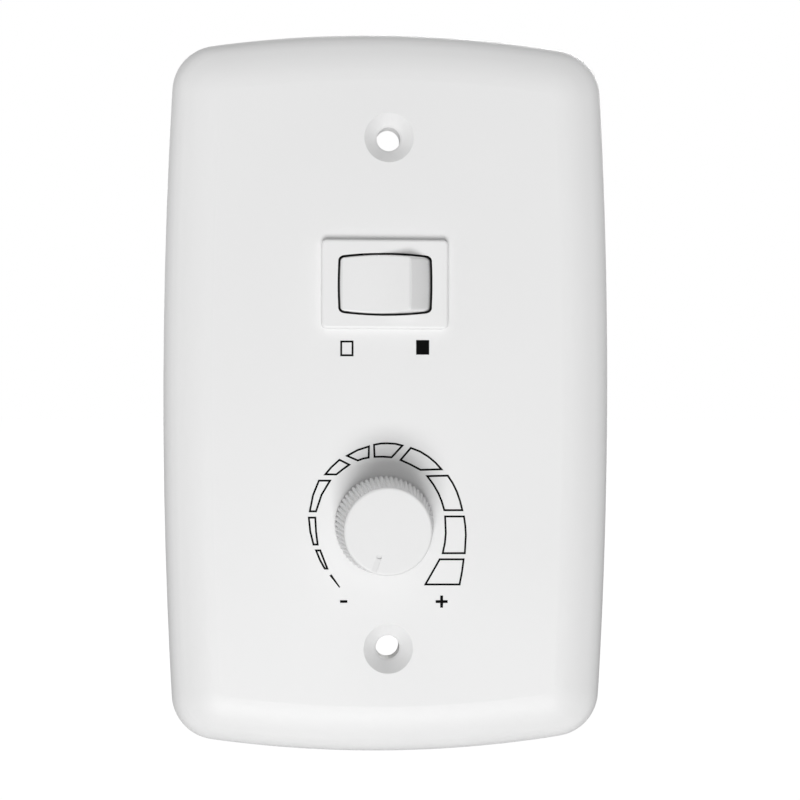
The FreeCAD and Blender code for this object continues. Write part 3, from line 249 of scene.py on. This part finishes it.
signs = [ink_shape(corners) for corners in (FIRST_STEP_MM, PLUS_MM, MINUS_MM)]
speed_scale = joined("speed_scale", steps + signs)
switch_marks = joined("switch_marks", [ink_shape(OPEN_SQUARE_MM, LINE_MM), ink_shape(FULL_SQUARE_MM)])
material, base, place = start_finish("printing_ink")
film = base.noise(place, 2500.0, 4.0)
end_finish(
    base, Base_Color=base.blend(film, (0.001, 0.001, 0.001), (0.004, 0.004, 0.004)),
    Specular_IOR_Level=0.03, Roughness=0.5 + 0.2 * (film - 0.5), Normal=base.bump(film, 0.1, 0.01 * MM),
)
for print_piece in (speed_scale, switch_marks):
    print_piece.data.materials.append(material)
    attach(print_piece, "wall_plate")


# Rocker switch: a snap-in nylon housing with its bezel, and a smooth white rocker in the window.
# The well behind the window is painted black as shade. Painted shade makes the narrow gap round the rocker
# a dark line, and greys the rocker's end walls a little.
ROCKER_PIVOT = Vector((-0.7, -5.8, 17.7)) * MM
WELL_HALF_LENGTH = 9.3 * MM
WELL_HALF_HEIGHT = 5.2 * MM
WELL_FRONT = -10.4 * MM
WELL_REAR = 2.9 * MM
WELL_PAINTED_SHADE = (0.015, 0.015, 0.015)
material, base, place = start_finish("switch_white")
across, inward, upward = base.axes(place)
drift = base.noise(place, 60.0)
grain = base.noise(place, 8000.0, 3.0)
in_length = abs(across - ROCKER_PIVOT.x) < WELL_HALF_LENGTH
in_height = abs(upward - ROCKER_PIVOT.z) < WELL_HALF_HEIGHT
# painted shade: the housing inside the window is coloured black so the deep gap reads dark
well_painted_shade = in_length * in_height * (inward > WELL_FRONT) * (inward < WELL_REAR)
shell = base.blend(drift, (0.82, 0.82, 0.82), (0.85, 0.85, 0.85))
end_finish(
    base, Base_Color=base.blend(well_painted_shade, shell, WELL_PAINTED_SHADE), Roughness=0.34 + 0.1 * drift,
    Normal=base.bump(grain, 0.04, 0.02 * MM),
)
dress(material, "switch_housing")

NEAR_END = 7.6 * MM
END_WALL_FROM = 8.4 * MM
END_WALL_FULL = 8.66 * MM
GAP_REACH = 1.2 * MM
UNSHADED_OPENNESS = 0.92
SHADED_OPENNESS = 0.62
GAP_PAINTED_SHADE = (0.012, 0.012, 0.012)
material, base, place = start_finish("rocker_white")
drift = base.noise(place, 60.0)
grain = base.noise(place, 8000.0, 3.0)
about_pivot = base.from_axis(place, ROCKER_PIVOT, (1, 1, 0))
end_wall_shade = base.ramp(about_pivot, END_WALL_FROM, END_WALL_FULL)
# painted shade: ambient occlusion darkens the colour in the narrow gap round the rocker
open_space = base.node("ShaderNodeAmbientOcclusion", {"samples": 12}, {"Distance": GAP_REACH}, out="AO")
end_painted_shade = base.ramp(open_space, UNSHADED_OPENNESS, SHADED_OPENNESS)
unshaded_share = open_space * open_space * (1 - (about_pivot > NEAR_END) * end_painted_shade)
gloss_white = base.blend(drift, (0.81, 0.81, 0.81), (0.84, 0.84, 0.84))
# painted shade: the rocker's end walls are coloured greyer than the rest
end_shaded_white = base.blend(end_wall_shade, gloss_white, (0.72, 0.72, 0.72))
end_finish(
    base, Base_Color=base.blend(unshaded_share, GAP_PAINTED_SHADE, end_shaded_white),
    Roughness=0.34 + 0.12 * (drift - 0.5), Normal=base.bump(grain, 0.03, 0.02 * MM),
)
dress(material, "rocker")


def moulded(name, colour, roughness, skin=0.05):
    """Moulded plastic: slow drift of tone, uneven gloss and a fine grain."""
    material, base, place = start_finish(name)
    drift = base.noise(place, 60.0)
    grain = base.noise(place, 8000.0, 3.0)
    end_finish(
        base, Base_Color=base.blend(drift, shade_of(colour, 0.96), colour),
        Roughness=roughness + 0.14 * (drift - 0.5), Normal=base.bump(grain, skin, 0.02 * MM),
    )
    return material


dress(moulded("plunger_plastic", (0.8, 0.8, 0.75), 0.4), "spring_plunger")


# Switch metal: stamped brass tabs and contact strip, with pressed silver contact rivets.
# Brass keeps the lines of the rolling mill and dulls in patches; the silver is slightly pitted.
def bare_metal(name, colour, roughness, lines, dulling=0.75):
    """Metal with fine lines along its working and patches of thin oxide."""
    material, base, place = start_finish(name)
    drawn = base.noise(base.stretched(place, lines), 1.0, 3.0)
    oxide = base.noise(place, 420.0, 5.0)
    end_finish(
        base, Base_Color=base.blend(oxide, shade_of(colour, dulling), colour), Metallic=1.0,
        Roughness=roughness + 0.2 * (drawn - 0.5) + 0.16 * (oxide - 0.5),
        Normal=base.bump(drawn, 0.12, 0.02 * MM),
    )
    return material


ROLLED_ALONG_Y = (9000, 500, 9000)
ROLLED_ALONG_X = (500, 9000, 9000)
EVEN_GRAIN = (5000, 5000, 5000)
tab_brass = bare_metal("tab_brass", (0.78, 0.6, 0.3), 0.3, ROLLED_ALONG_Y)
dress(tab_brass, "common_tab", "left_tab", "right_tab")
contact_brass = bare_metal("contact_brass", (0.74, 0.56, 0.29), 0.32, ROLLED_ALONG_X)
dress(contact_brass, "seesaw_contact", "pot_wiper")
contact_silver = bare_metal("contact_silver", (0.87, 0.86, 0.83), 0.28, EVEN_GRAIN, 0.85)
dress(contact_silver, "moving_contact_tips", "fixed_contact_tips")


# Coil spring: hard-drawn steel wire in seven turns, seated in the rocker's socket behind the plunger.
COIL_RADIUS = 1.07 * MM
COIL_LENGTH = 4.7 * MM
COIL_TURNS = 7
WIRE_RADIUS = 0.15 * MM
WIRE_SIDES = 12
FOOT_FROM_PIVOT = 3.85 * MM
ROCKER_TILT = radians(14)
bpy.ops.object.select_all(action="DESELECT")
bpy.ops.mesh.primitive_circle_add(
    vertices=WIRE_SIDES, radius=WIRE_RADIUS, location=(COIL_RADIUS, 0, 0), rotation=(pi / 2, 0, 0),
)
rocker_coil = bpy.context.object
rocker_coil.name = "rocker_coil"
bpy.ops.object.transform_apply(location=True, rotation=True, scale=True)
winding = rocker_coil.modifiers.new("winding", "SCREW")
winding.screw_offset = COIL_LENGTH / COIL_TURNS
winding.iterations = COIL_TURNS
winding.steps = winding.render_steps = 24
bpy.ops.object.modifier_apply(modifier=winding.name)
bpy.ops.object.mode_set(mode="EDIT")
bpy.ops.mesh.select_all(action="SELECT")
bpy.ops.mesh.fill_holes(sides=WIRE_SIDES)
faces_outward()
bpy.ops.object.shade_smooth_by_angle(angle=radians(40))
coil_axis = Vector((sin(ROCKER_TILT), cos(ROCKER_TILT), 0))
coil_foot = ROCKER_PIVOT - FOOT_FROM_PIVOT * coil_axis
rocker_coil.location = coil_foot
rocker_coil.rotation_euler = (-pi / 2, 0, -ROCKER_TILT)
bpy.ops.object.transform_apply(location=True, rotation=True, scale=True)
spring_steel = bare_metal("spring_steel", (0.6, 0.6, 0.61), 0.3, EVEN_GRAIN)
rocker_coil.data.materials.append(spring_steel)
dress(spring_steel, "rocker_spring")
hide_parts("rocker_spring")
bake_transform(rocker_coil)


# Speed potentiometer: a threaded die-cast bushing, plated nut and washer, and a turned aluminium shaft.
# Behind the plate its laminated wafer carries a black carbon track and tinned pins, all under a
# pressed steel case; a spring steel clip holds the shaft.
THREAD_REAR = -7.1 * MM
THREAD_SCALE = 419.0
material, base, place = start_finish("die_cast")
inward = base.axes(place)[1]
cast = base.noise(place, 2600.0, 4.0)
thread = base.node(
    "ShaderNodeTexWave", {"bands_direction": "Y"},
    {"Vector": place, "Scale": THREAD_SCALE, "Distortion": 0.0}, out=1,
)
threaded = inward < THREAD_REAR
end_finish(
    base, Base_Color=base.blend(cast, (0.46, 0.46, 0.46), (0.62, 0.62, 0.61)), Metallic=1.0,
    Roughness=0.42 + 0.2 * (cast - 0.5), Normal=base.bump(threaded * thread + 0.08 * cast, 0.6, 0.15 * MM),
)
dress(material, "pot_bushing")
nickel_plate = bare_metal("nickel_plate", (0.7, 0.69, 0.65), 0.26, EVEN_GRAIN, 0.85)
dress(nickel_plate, "pot_nut", "pot_washer", "terminal_clamps")
TURNED = (600, 16000, 600)
dress(bare_metal("shaft_aluminium", (0.74, 0.74, 0.75), 0.3, TURNED, 0.88), "pot_shaft")
dress(spring_steel, "shaft_clip")
dress(moulded("rotor_plastic", (0.045, 0.045, 0.045), 0.45), "pot_rotor")
dress(bare_metal("tinned_pins", (0.72, 0.72, 0.71), 0.33, ROLLED_ALONG_Y, 0.82), "pot_pins")
COARSE_GRAIN = (2500, 2500, 2500)
dress(bare_metal("case_steel", (0.68, 0.68, 0.67), 0.3, COARSE_GRAIN, 0.85), "pot_case")

SHAFT_PLACE = Vector((-0.7, 0, -21.5)) * MM
TRACK_INNER = 4.5 * MM
TRACK_OUTER = 6.2 * MM
CARBON = (0.025, 0.025, 0.027)
material, base, place = start_finish("wafer_laminate")
about_shaft = base.from_axis(place, SHAFT_PLACE, (1, 0, 1))
track = (about_shaft > TRACK_INNER) * (about_shaft < TRACK_OUTER)
fibre = base.noise(place, 900.0, 5.0)
paper = base.blend(fibre, (0.22, 0.12, 0.05), (0.36, 0.21, 0.1))
end_finish(
    base, Base_Color=base.blend(track, paper, CARBON), Roughness=0.5 + 0.2 * (fibre - 0.5),
    Normal=base.bump(fibre, 0.1, 0.03 * MM),
)
dress(material, "pot_wafer")


# Knob: one white moulding with a knurled skirt and a shallow pointer groove, pushed on the flatted shaft.
# The pointer groove is painted a little darker as shade.
KNOB_WHITE = (0.82, 0.82, 0.82)
GROOVE_REACH = 6.6 * MM
GROOVE_FRONT = -21.95 * MM
GROOVE_REAR = -21.4 * MM
material, base, place = start_finish("knob_white")
inward = base.axes(place)[1]
drift = base.noise(place, 60.0)
grain = base.noise(place, 8000.0, 3.0)
about_shaft = base.from_axis(place, SHAFT_PLACE, (1, 0, 1))
# painted shade: the pointer groove is coloured a little darker
groove_shade = (about_shaft < GROOVE_REACH) * (inward > GROOVE_FRONT) * (inward < GROOVE_REAR)
knob_tone = base.blend(drift, shade_of(KNOB_WHITE, 0.96), KNOB_WHITE)
end_finish(
    base, Base_Color=base.blend(groove_shade, knob_tone, shade_of(KNOB_WHITE, 0.92)),
    Roughness=0.42 + 0.14 * (drift - 0.5), Normal=base.bump(grain, 0.04, 0.02 * MM),
)
dress(material, "knob")


# Circuit board: paper phenolic sheet with part outlines printed on the component side.
# The side that faces the plate carries wide tinned copper tracks.
BOARD_FRONT_MM = 2.0
BOARD_REAR_MM = 3.6
SKIN_MM = 0.02
LEGEND_LINE_MM = 0.3
LEGEND_MM = [
    (0, -31.5, 15.8, 8.8), (5, 0.6, 13.7, 6.7), (-8, 0.6, 8.0, 5.3), (-11.7, -17, 5.2, 11.0),
    (6.5, -14, 7.2, 3.0), (6.5, -18, 7.2, 3.0), (6.5, -22, 7.2, 3.0), (17, -15, 2.5, 4.7),
]
TRACKS_MM = [
    (11.6, -10.7, 2.4, 24.5), (1.4, -18, 2.2, 10.5), (-5.1, -30.0, 4.0, 7.0), (-11.6, -24.5, 2.6, 12.5),
    (-8.3, -30.4, 6.0, 2.6), (5.1, -27.5, 3.4, 12.0), (-10.5, -7.0, 2.4, 17.5), (5.0, 0.6, 12.5, 2.4),
    (17, -5.3, 2.2, 14.0), (13.5, 0.6, 8.0, 2.2), (-3.2, -9.0, 7.4, 2.0), (0, -33, 3.0, 4.0),
]


def patch(across, upward, x, z, width, height):
    return (abs(across - x * MM) < width / 2 * MM) * (abs(upward - z * MM) < height / 2 * MM)


material, base, place = start_finish("board_laminate")
across, inward, upward = base.axes(place)
fibre = base.noise(place, 800.0, 5.0)
sheet = base.blend(fibre, (0.42, 0.27, 0.11), (0.57, 0.39, 0.18))
lines = 0.0
for x, z, width, height in LEGEND_MM:
    inner = patch(across, upward, x, z, width - 2 * LEGEND_LINE_MM, height - 2 * LEGEND_LINE_MM)
    lines = lines + patch(across, upward, x, z, width, height) * (1 - inner)
legend = lines * (inward > (BOARD_REAR_MM - SKIN_MM) * MM)
copper = 0.0
for x, z, width, height in TRACKS_MM:
    copper = base.math("MAXIMUM", patch(across, upward, x, z, width, height), copper)
copper = copper * (inward < (BOARD_FRONT_MM + SKIN_MM) * MM)
printed = base.blend(legend, sheet, (0.78, 0.78, 0.74))
tin = base.noise(place, 1400.0, 4.0)
end_finish(
    base, Base_Color=base.blend(copper, printed, (0.66, 0.65, 0.61)), Metallic=0.95 * copper,
    Roughness=0.5 + 0.15 * (fibre - 0.5) - 0.15 * copper + 0.1 * copper * tin,
    Normal=base.bump(0.3 * fibre + 1.2 * copper + 0.3 * copper * tin, 0.35, 0.05 * MM),
)
dress(material, "circuit_board")


# Solder joints: each lead is soldered to its track in a small hollow-sided cone of tin alloy.
# The wave-soldered side faces the plate; the potentiometer's pins are soldered on the component side.
JOINT_RADIUS = 1.0 * MM
JOINT_STEPS_MM = [(0.12, 0.8), (0.18, 0.76), (0.3, 0.76), (0.3, 0.84), (0.14, 0.7), (0.06, 0.4)]
bpy.ops.object.select_all(action="DESELECT")
bpy.ops.mesh.primitive_circle_add(vertices=20, radius=JOINT_RADIUS, fill_type="NGON")
joint = bpy.context.object
bpy.ops.object.mode_set(mode="EDIT")
bpy.ops.mesh.select_all(action="SELECT")
height = 0.0
for rise, share in JOINT_STEPS_MM:
    height += rise * MM
    bpy.ops.mesh.extrude_region_move(TRANSFORM_OT_translate={"value": (0, 0, rise * MM)})
    bpy.ops.transform.resize(value=(share, share, 1), center_override=(0, 0, height))
faces_outward()
bpy.ops.object.shade_smooth_by_angle(angle=radians(40))


def copied(piece, places, turn):
    """Copies of a finished piece, each with its own mesh, turned and set at its place in mm."""
    copies = []
    for place in places:
        copy = piece.copy()
        copy.data = piece.data.copy()
        bpy.context.collection.objects.link(copy)
        copy.location = Vector(place) * MM
        copy.rotation_euler = turn
        copies.append(copy)
    bpy.ops.object.select_all(action="DESELECT")
    for copy in copies:
        copy.select_set(True)
    bpy.context.view_layer.objects.active = copies[0]
    bpy.ops.object.transform_apply(location=True, rotation=True, scale=True)
    return copies


FRONT_LEADS_MM = [
    (-5.08, -32.2), (0, -32.2), (5.08, -32.2), (-11.6, -19.54), (-11.6, -17), (-11.6, -14.46),
    (0, 0.6), (10, 0.6), (-10.5, 0.6), (-5.5, 0.6), (1.42, -14), (11.58, -14), (1.42, -18), (11.58, -18),
    (1.42, -22), (11.58, -22), (17, -18.81), (17, -11.19),
]
REAR_PINS_MM = [(-5.7, -8.9), (-0.7, -8.9), (4.3, -8.9)]
FACING_PLATE = (pi / 2, 0, 0)
FACING_BACK = (-pi / 2, 0, 0)
front_joints = copied(joint, [(x, BOARD_FRONT_MM + SKIN_MM, z) for x, z in FRONT_LEADS_MM], FACING_PLATE)
rear_joints = copied(joint, [(x, BOARD_REAR_MM - SKIN_MM, z) for x, z in REAR_PINS_MM], FACING_BACK)
bpy.data.objects.remove(joint)
solder_joints = joined("solder_joints", front_joints + rear_joints)
solder = bare_metal("solder", (0.74, 0.74, 0.73), 0.25, (1800, 1800, 1800), 0.8)
solder_joints.data.materials.append(solder)
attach(solder_joints, "wall_plate")


# Screws: zinc-plated steel, cold headed with a rolled thread.
# Pan heads with a cross recess hold the board and the triac; slotted cheese heads close the terminals.
RECESS_TURN = 0.5
CROSS_REACH = 0.62
SLOT_REACH = 1.2
RECESS_WIDTH = 0.24
RECESS_DEPTH = 1.1
THREAD_DEPTH = 0.35


def screw(head_radius, head_height, dome, shank_radius, shank_length, pitch, cross):
    """A screw at the origin with its head up, in mm, with turned rings for its thread."""
    bpy.ops.object.select_all(action="DESELECT")
    bpy.ops.mesh.primitive_cylinder_add(
        vertices=40, radius=head_radius * MM, depth=head_height * MM, location=(0, 0, head_height / 2 * MM),
    )
    piece = bpy.context.object
    bpy.ops.object.transform_apply(location=True, rotation=True, scale=True)
    bpy.ops.object.mode_set(mode="EDIT")
    bpy.ops.mesh.select_mode(type="FACE")
    bpy.ops.mesh.select_all(action="DESELECT")
    bpy.ops.object.mode_set(mode="OBJECT")
    for face in piece.data.polygons:
        face.select = face.normal.z < -0.9
    bpy.ops.object.mode_set(mode="EDIT")
    bpy.ops.mesh.inset(thickness=(head_radius - shank_radius) * MM)
    root = 1 - THREAD_DEPTH * pitch / shank_radius
    half_pitch = pitch / 2 * MM
    low = 0.0
    for _ in range(int(shank_length / pitch)):
        for share in (root, 1 / root):
            low -= half_pitch
            bpy.ops.mesh.extrude_region_move(TRANSFORM_OT_translate={"value": (0, 0, -half_pitch)})
            bpy.ops.transform.resize(value=(share, share, 1), center_override=(0, 0, low))
    bpy.ops.mesh.select_mode(type="EDGE")
    bpy.ops.mesh.select_all(action="DESELECT")
    bpy.ops.object.mode_set(mode="OBJECT")
    top = head_height * MM - 1e-6
    for edge in piece.data.edges:
        edge.select = all(piece.data.vertices[end].co.z > top for end in edge.vertices)
    bpy.ops.object.mode_set(mode="EDIT")
    bpy.ops.mesh.bevel(offset=dome * MM, segments=5, affect="EDGES")
    bpy.ops.object.mode_set(mode="OBJECT")
    reach = CROSS_REACH if cross else SLOT_REACH
    for angle in (0, pi / 2) if cross else (0,):
        bpy.ops.object.select_all(action="DESELECT")
        bpy.ops.mesh.primitive_cube_add(
            size=1, location=(0, 0, head_height * MM), rotation=(0, 0, angle + RECESS_TURN),
        )
        cutter = bpy.context.object
        cutter.scale = Vector((
            2 * reach * head_radius, RECESS_WIDTH * head_radius, RECESS_DEPTH * head_height,
        )) * MM
        piece.select_set(True)
        bpy.context.view_layer.objects.active = piece
        recess = piece.modifiers.new("recess", "BOOLEAN")
        recess.object = cutter
        recess.operation = "DIFFERENCE"
        recess.solver = "EXACT"
        bpy.ops.object.modifier_apply(modifier=recess.name)
        bpy.data.objects.remove(cutter)
    bpy.ops.object.shade_smooth_by_angle(angle=radians(35))
    return piece


zinc_screws = bare_metal("zinc_screws", (0.68, 0.68, 0.7), 0.3, EVEN_GRAIN, 0.85)
dress(zinc_screws, "heat_sink_nut")


def fit_screws(node, model, places, turn):
    screws = copied(model, places, turn)
    bpy.data.objects.remove(model)
    for number, one in enumerate(screws, 1):
        one.name = f"{node}_{number}"
        one.data.materials.append(zinc_screws)
        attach(one, "wall_plate")
        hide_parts(node)


board_corners = [(x, BOARD_REAR_MM, z) for x in (-18.5, 18.5) for z in (-32.5, 4.0)]
fit_screws("board_screws", screw(2.5, 1.8, 0.9, 1.18, 7.0, 0.7, True), board_corners, FACING_BACK)
clamps = [(x, 10.0, -32.2) for x in (-5.08, 0, 5.08)]
fit_screws("terminal_screws", screw(1.7, 1.6, 0.25, 1.18, 2.8, 0.5, False), clamps, FACING_BACK)
tab_hole = [(-12.7, 19.6, -17.0)]
fit_screws("heat_sink_screw", screw(2.75, 2.0, 1.0, 1.48, 6.0, 0.5, True), tab_hole, (0, pi / 2, 0))


# Terminal block: three ways moulded in green polyamide, with wire mouths below and screw wells behind.
# Its faces have the light spark-eroded texture of the mould.
dress(moulded("terminal_green", (0.05, 0.27, 0.11), 0.42, 0.12), "terminal_block")


# Triac and heat sink: a black epoxy body on a tinned copper tab, screwed to a folded aluminium channel.
# The channel is mill-finish sheet with the lines of its rolling.
EPOXY_FRONT = 7.0 * MM
EPOXY_REAR = 16.0 * MM
material, base, place = start_finish("triac_black")
inward = base.axes(place)[1]
bare = base.math("MAXIMUM", inward > EPOXY_REAR, inward < EPOXY_FRONT)
grit = base.noise(place, 5000.0, 3.0)
smear = base.noise(place, 500.0, 4.0)
tinned = base.blend(smear, (0.56, 0.56, 0.56), (0.72, 0.72, 0.71))
epoxy = base.blend(grit, (0.02, 0.02, 0.021), (0.045, 0.045, 0.046))
end_finish(
    base, Base_Color=base.blend(bare, epoxy, tinned), Metallic=bare,
    Roughness=0.55 - 0.22 * bare + 0.16 * (smear - 0.5), Normal=base.bump(grit, 0.12, 0.02 * MM),
)
dress(material, "triac")
MILL_LINES = (7000, 350, 7000)
dress(bare_metal("sink_aluminium", (0.5, 0.5, 0.51), 0.5, MILL_LINES, 0.8), "heat_sink")


# Capacitors, resistors and trigger diode: moulded box film capacitors, lacquered film resistors with
# value bands, and a lacquered glass diode, all on tinned copper wires.
def wired_part(name, colour, roughness, wire_mask, bands):
    """Lacquered body with printed bands, on bare wires where the given mask says."""
    material, base, place = start_finish(name)
    across, inward, upward = base.axes(place)
    wire = wire_mask(across, inward, upward)
    drift = base.noise(place, 700.0, 4.0)
    tone = base.blend(drift, shade_of(colour, 0.88), colour)
    for mask, band in bands(across, upward):
        tone = base.blend(mask, tone, band)
    tinned = base.blend(drift, (0.58, 0.58, 0.58), (0.74, 0.74, 0.73))
    end_finish(
        base, Base_Color=base.blend(wire, tone, tinned), Metallic=wire,
        Roughness=roughness + 0.12 * (drift - 0.5), Normal=base.bump(drift, 0.06, 0.03 * MM),
    )
    return material


def below_case(across, inward, upward):
    return inward < BOARD_REAR_MM * MM


def no_bands(across, upward):
    return []


for name, colour, roughness, node in (
    ("capacitor_yellow", (0.8, 0.55, 0.08), 0.32, "snubber_capacitor"),
    ("capacitor_red", (0.42, 0.05, 0.035), 0.3, "timing_capacitor"),
):
    dress(wired_part(name, colour, roughness, below_case, no_bands), node)

RESISTOR_X_MM = 6.5
RESISTOR_HALF_MM = 3.26
BAND_HALF = 0.32 * MM
VALUE_BANDS_MM = [
    (-2.3, (0.12, 0.05, 0.02)), (-1.2, (0.02, 0.02, 0.02)),
    (-0.1, (0.55, 0.17, 0.02)), (2.1, (0.5, 0.36, 0.1)),
]


def past_resistor(across, inward, upward):
    return abs(across - RESISTOR_X_MM * MM) > RESISTOR_HALF_MM * MM


def resistor_bands(across, upward):
    return [(abs(across - (RESISTOR_X_MM + x) * MM) < BAND_HALF, tone) for x, tone in VALUE_BANDS_MM]


dress(wired_part("resistor_tan", (0.7, 0.53, 0.34), 0.4, past_resistor, resistor_bands), "resistors")

DIODE_Z = -15.0 * MM
DIODE_HALF = 1.96 * MM
DIODE_BAND_Z = -13.8 * MM
DIODE_BAND_HALF = 0.3 * MM


def past_diode(across, inward, upward):
    return abs(upward - DIODE_Z) > DIODE_HALF


def diode_band(across, upward):
    return [(abs(upward - DIODE_BAND_Z) < DIODE_BAND_HALF, (0.6, 0.6, 0.62))]


dress(wired_part("diac_blue", (0.06, 0.14, 0.42), 0.25, past_diode, diode_band), "diac")


# Studio: a plain white sheet for a floor and white all round, as a product is photographed.
# A softbox low in front throws the shadows upward; wide ones light the edges and the back.
FLOOR_Z = -60.2 * MM
SHEET_GREY = (0.5, 0.5, 0.5, 1)
WHITE = (1, 1, 1, 1)
bpy.ops.object.select_all(action="DESELECT")
bpy.ops.mesh.primitive_plane_add(size=6.0, location=(0, 0, FLOOR_Z))
floor = bpy.context.object
floor.name = "floor"
floor.visible_shadow = False
material, base, place = start_finish("floor_pale")
seen = base.node("ShaderNodeLightPath", {}, {}, out="Is Camera Ray")
matt = base.node("ShaderNodeBsdfDiffuse", {}, {"Color": SHEET_GREY})
bright = base.node("ShaderNodeEmission", {}, {"Color": WHITE, "Strength": 1.1})
mixed = base.node("ShaderNodeMixShader", {}, {0: 0.9 * seen, 1: matt, 2: bright})
base.node("ShaderNodeOutputMaterial", {}, {"Surface": mixed})
floor.data.materials.append(material)

FILL_LEVEL = 0.26
world = bpy.data.worlds.new("studio")
bpy.context.scene.world = world
world.use_nodes = True
world.node_tree.nodes.clear()
base = Shade(world.node_tree)
seen, glossy, through = base.node(
    "ShaderNodeLightPath", {}, {}, out=("Is Camera Ray", "Is Glossy Ray", "Is Transmission Ray"),
)
shown = base.math("MAXIMUM", base.math("MAXIMUM", seen, glossy), through)
level = FILL_LEVEL + (1 - FILL_LEVEL) * shown
sky = base.node("ShaderNodeBackground", {}, {"Color": WHITE, "Strength": level})
base.node("ShaderNodeOutputWorld", {}, {"Surface": sky})


def softbox(name, place, size, power):
    lamp = bpy.data.lights.new(name, "AREA")
    lamp.size = size
    lamp.energy = power
    holder = bpy.data.objects.new(name, lamp)
    bpy.context.collection.objects.link(holder)
    holder.location = place
    holder.rotation_euler = Vector(place).to_track_quat("Z", "Y").to_euler()
    holder.visible_camera = False


softbox("key_box", (-0.16, -2.58, -1.3), 1.2, 64.0)
softbox("top_box", (-0.2, -0.25, 1.5), 1.0, 3.4)
softbox("left_box", (-1.5, -0.3, 0.2), 1.0, 2.2)
softbox("right_box", (1.5, -0.3, 0.2), 1.0, 0.6)
softbox("back_box", (0.5, 1.5, 0.8), 0.9, 16.0)


# Camera: at the photograph's place, a little left of the plate and level with its middle.
# Its lens and turn were fitted to the plate's outline, the screw holes and the knob.
PHOTO_HALF_PX = 400
LENS_PX = 1718.6
camera = bpy.data.cameras.new("view")
camera.angle = 2 * atan(PHOTO_HALF_PX / LENS_PX)
camera.clip_start = 0.01
tripod = bpy.data.objects.new("view", camera)
bpy.context.collection.objects.link(tripod)
tripod.location = (-0.0147, -0.2891, 0.0008)
tripod.rotation_euler = (radians(90 - 0.38), radians(-0.11), radians(-3.38))
bpy.context.scene.camera = tripod
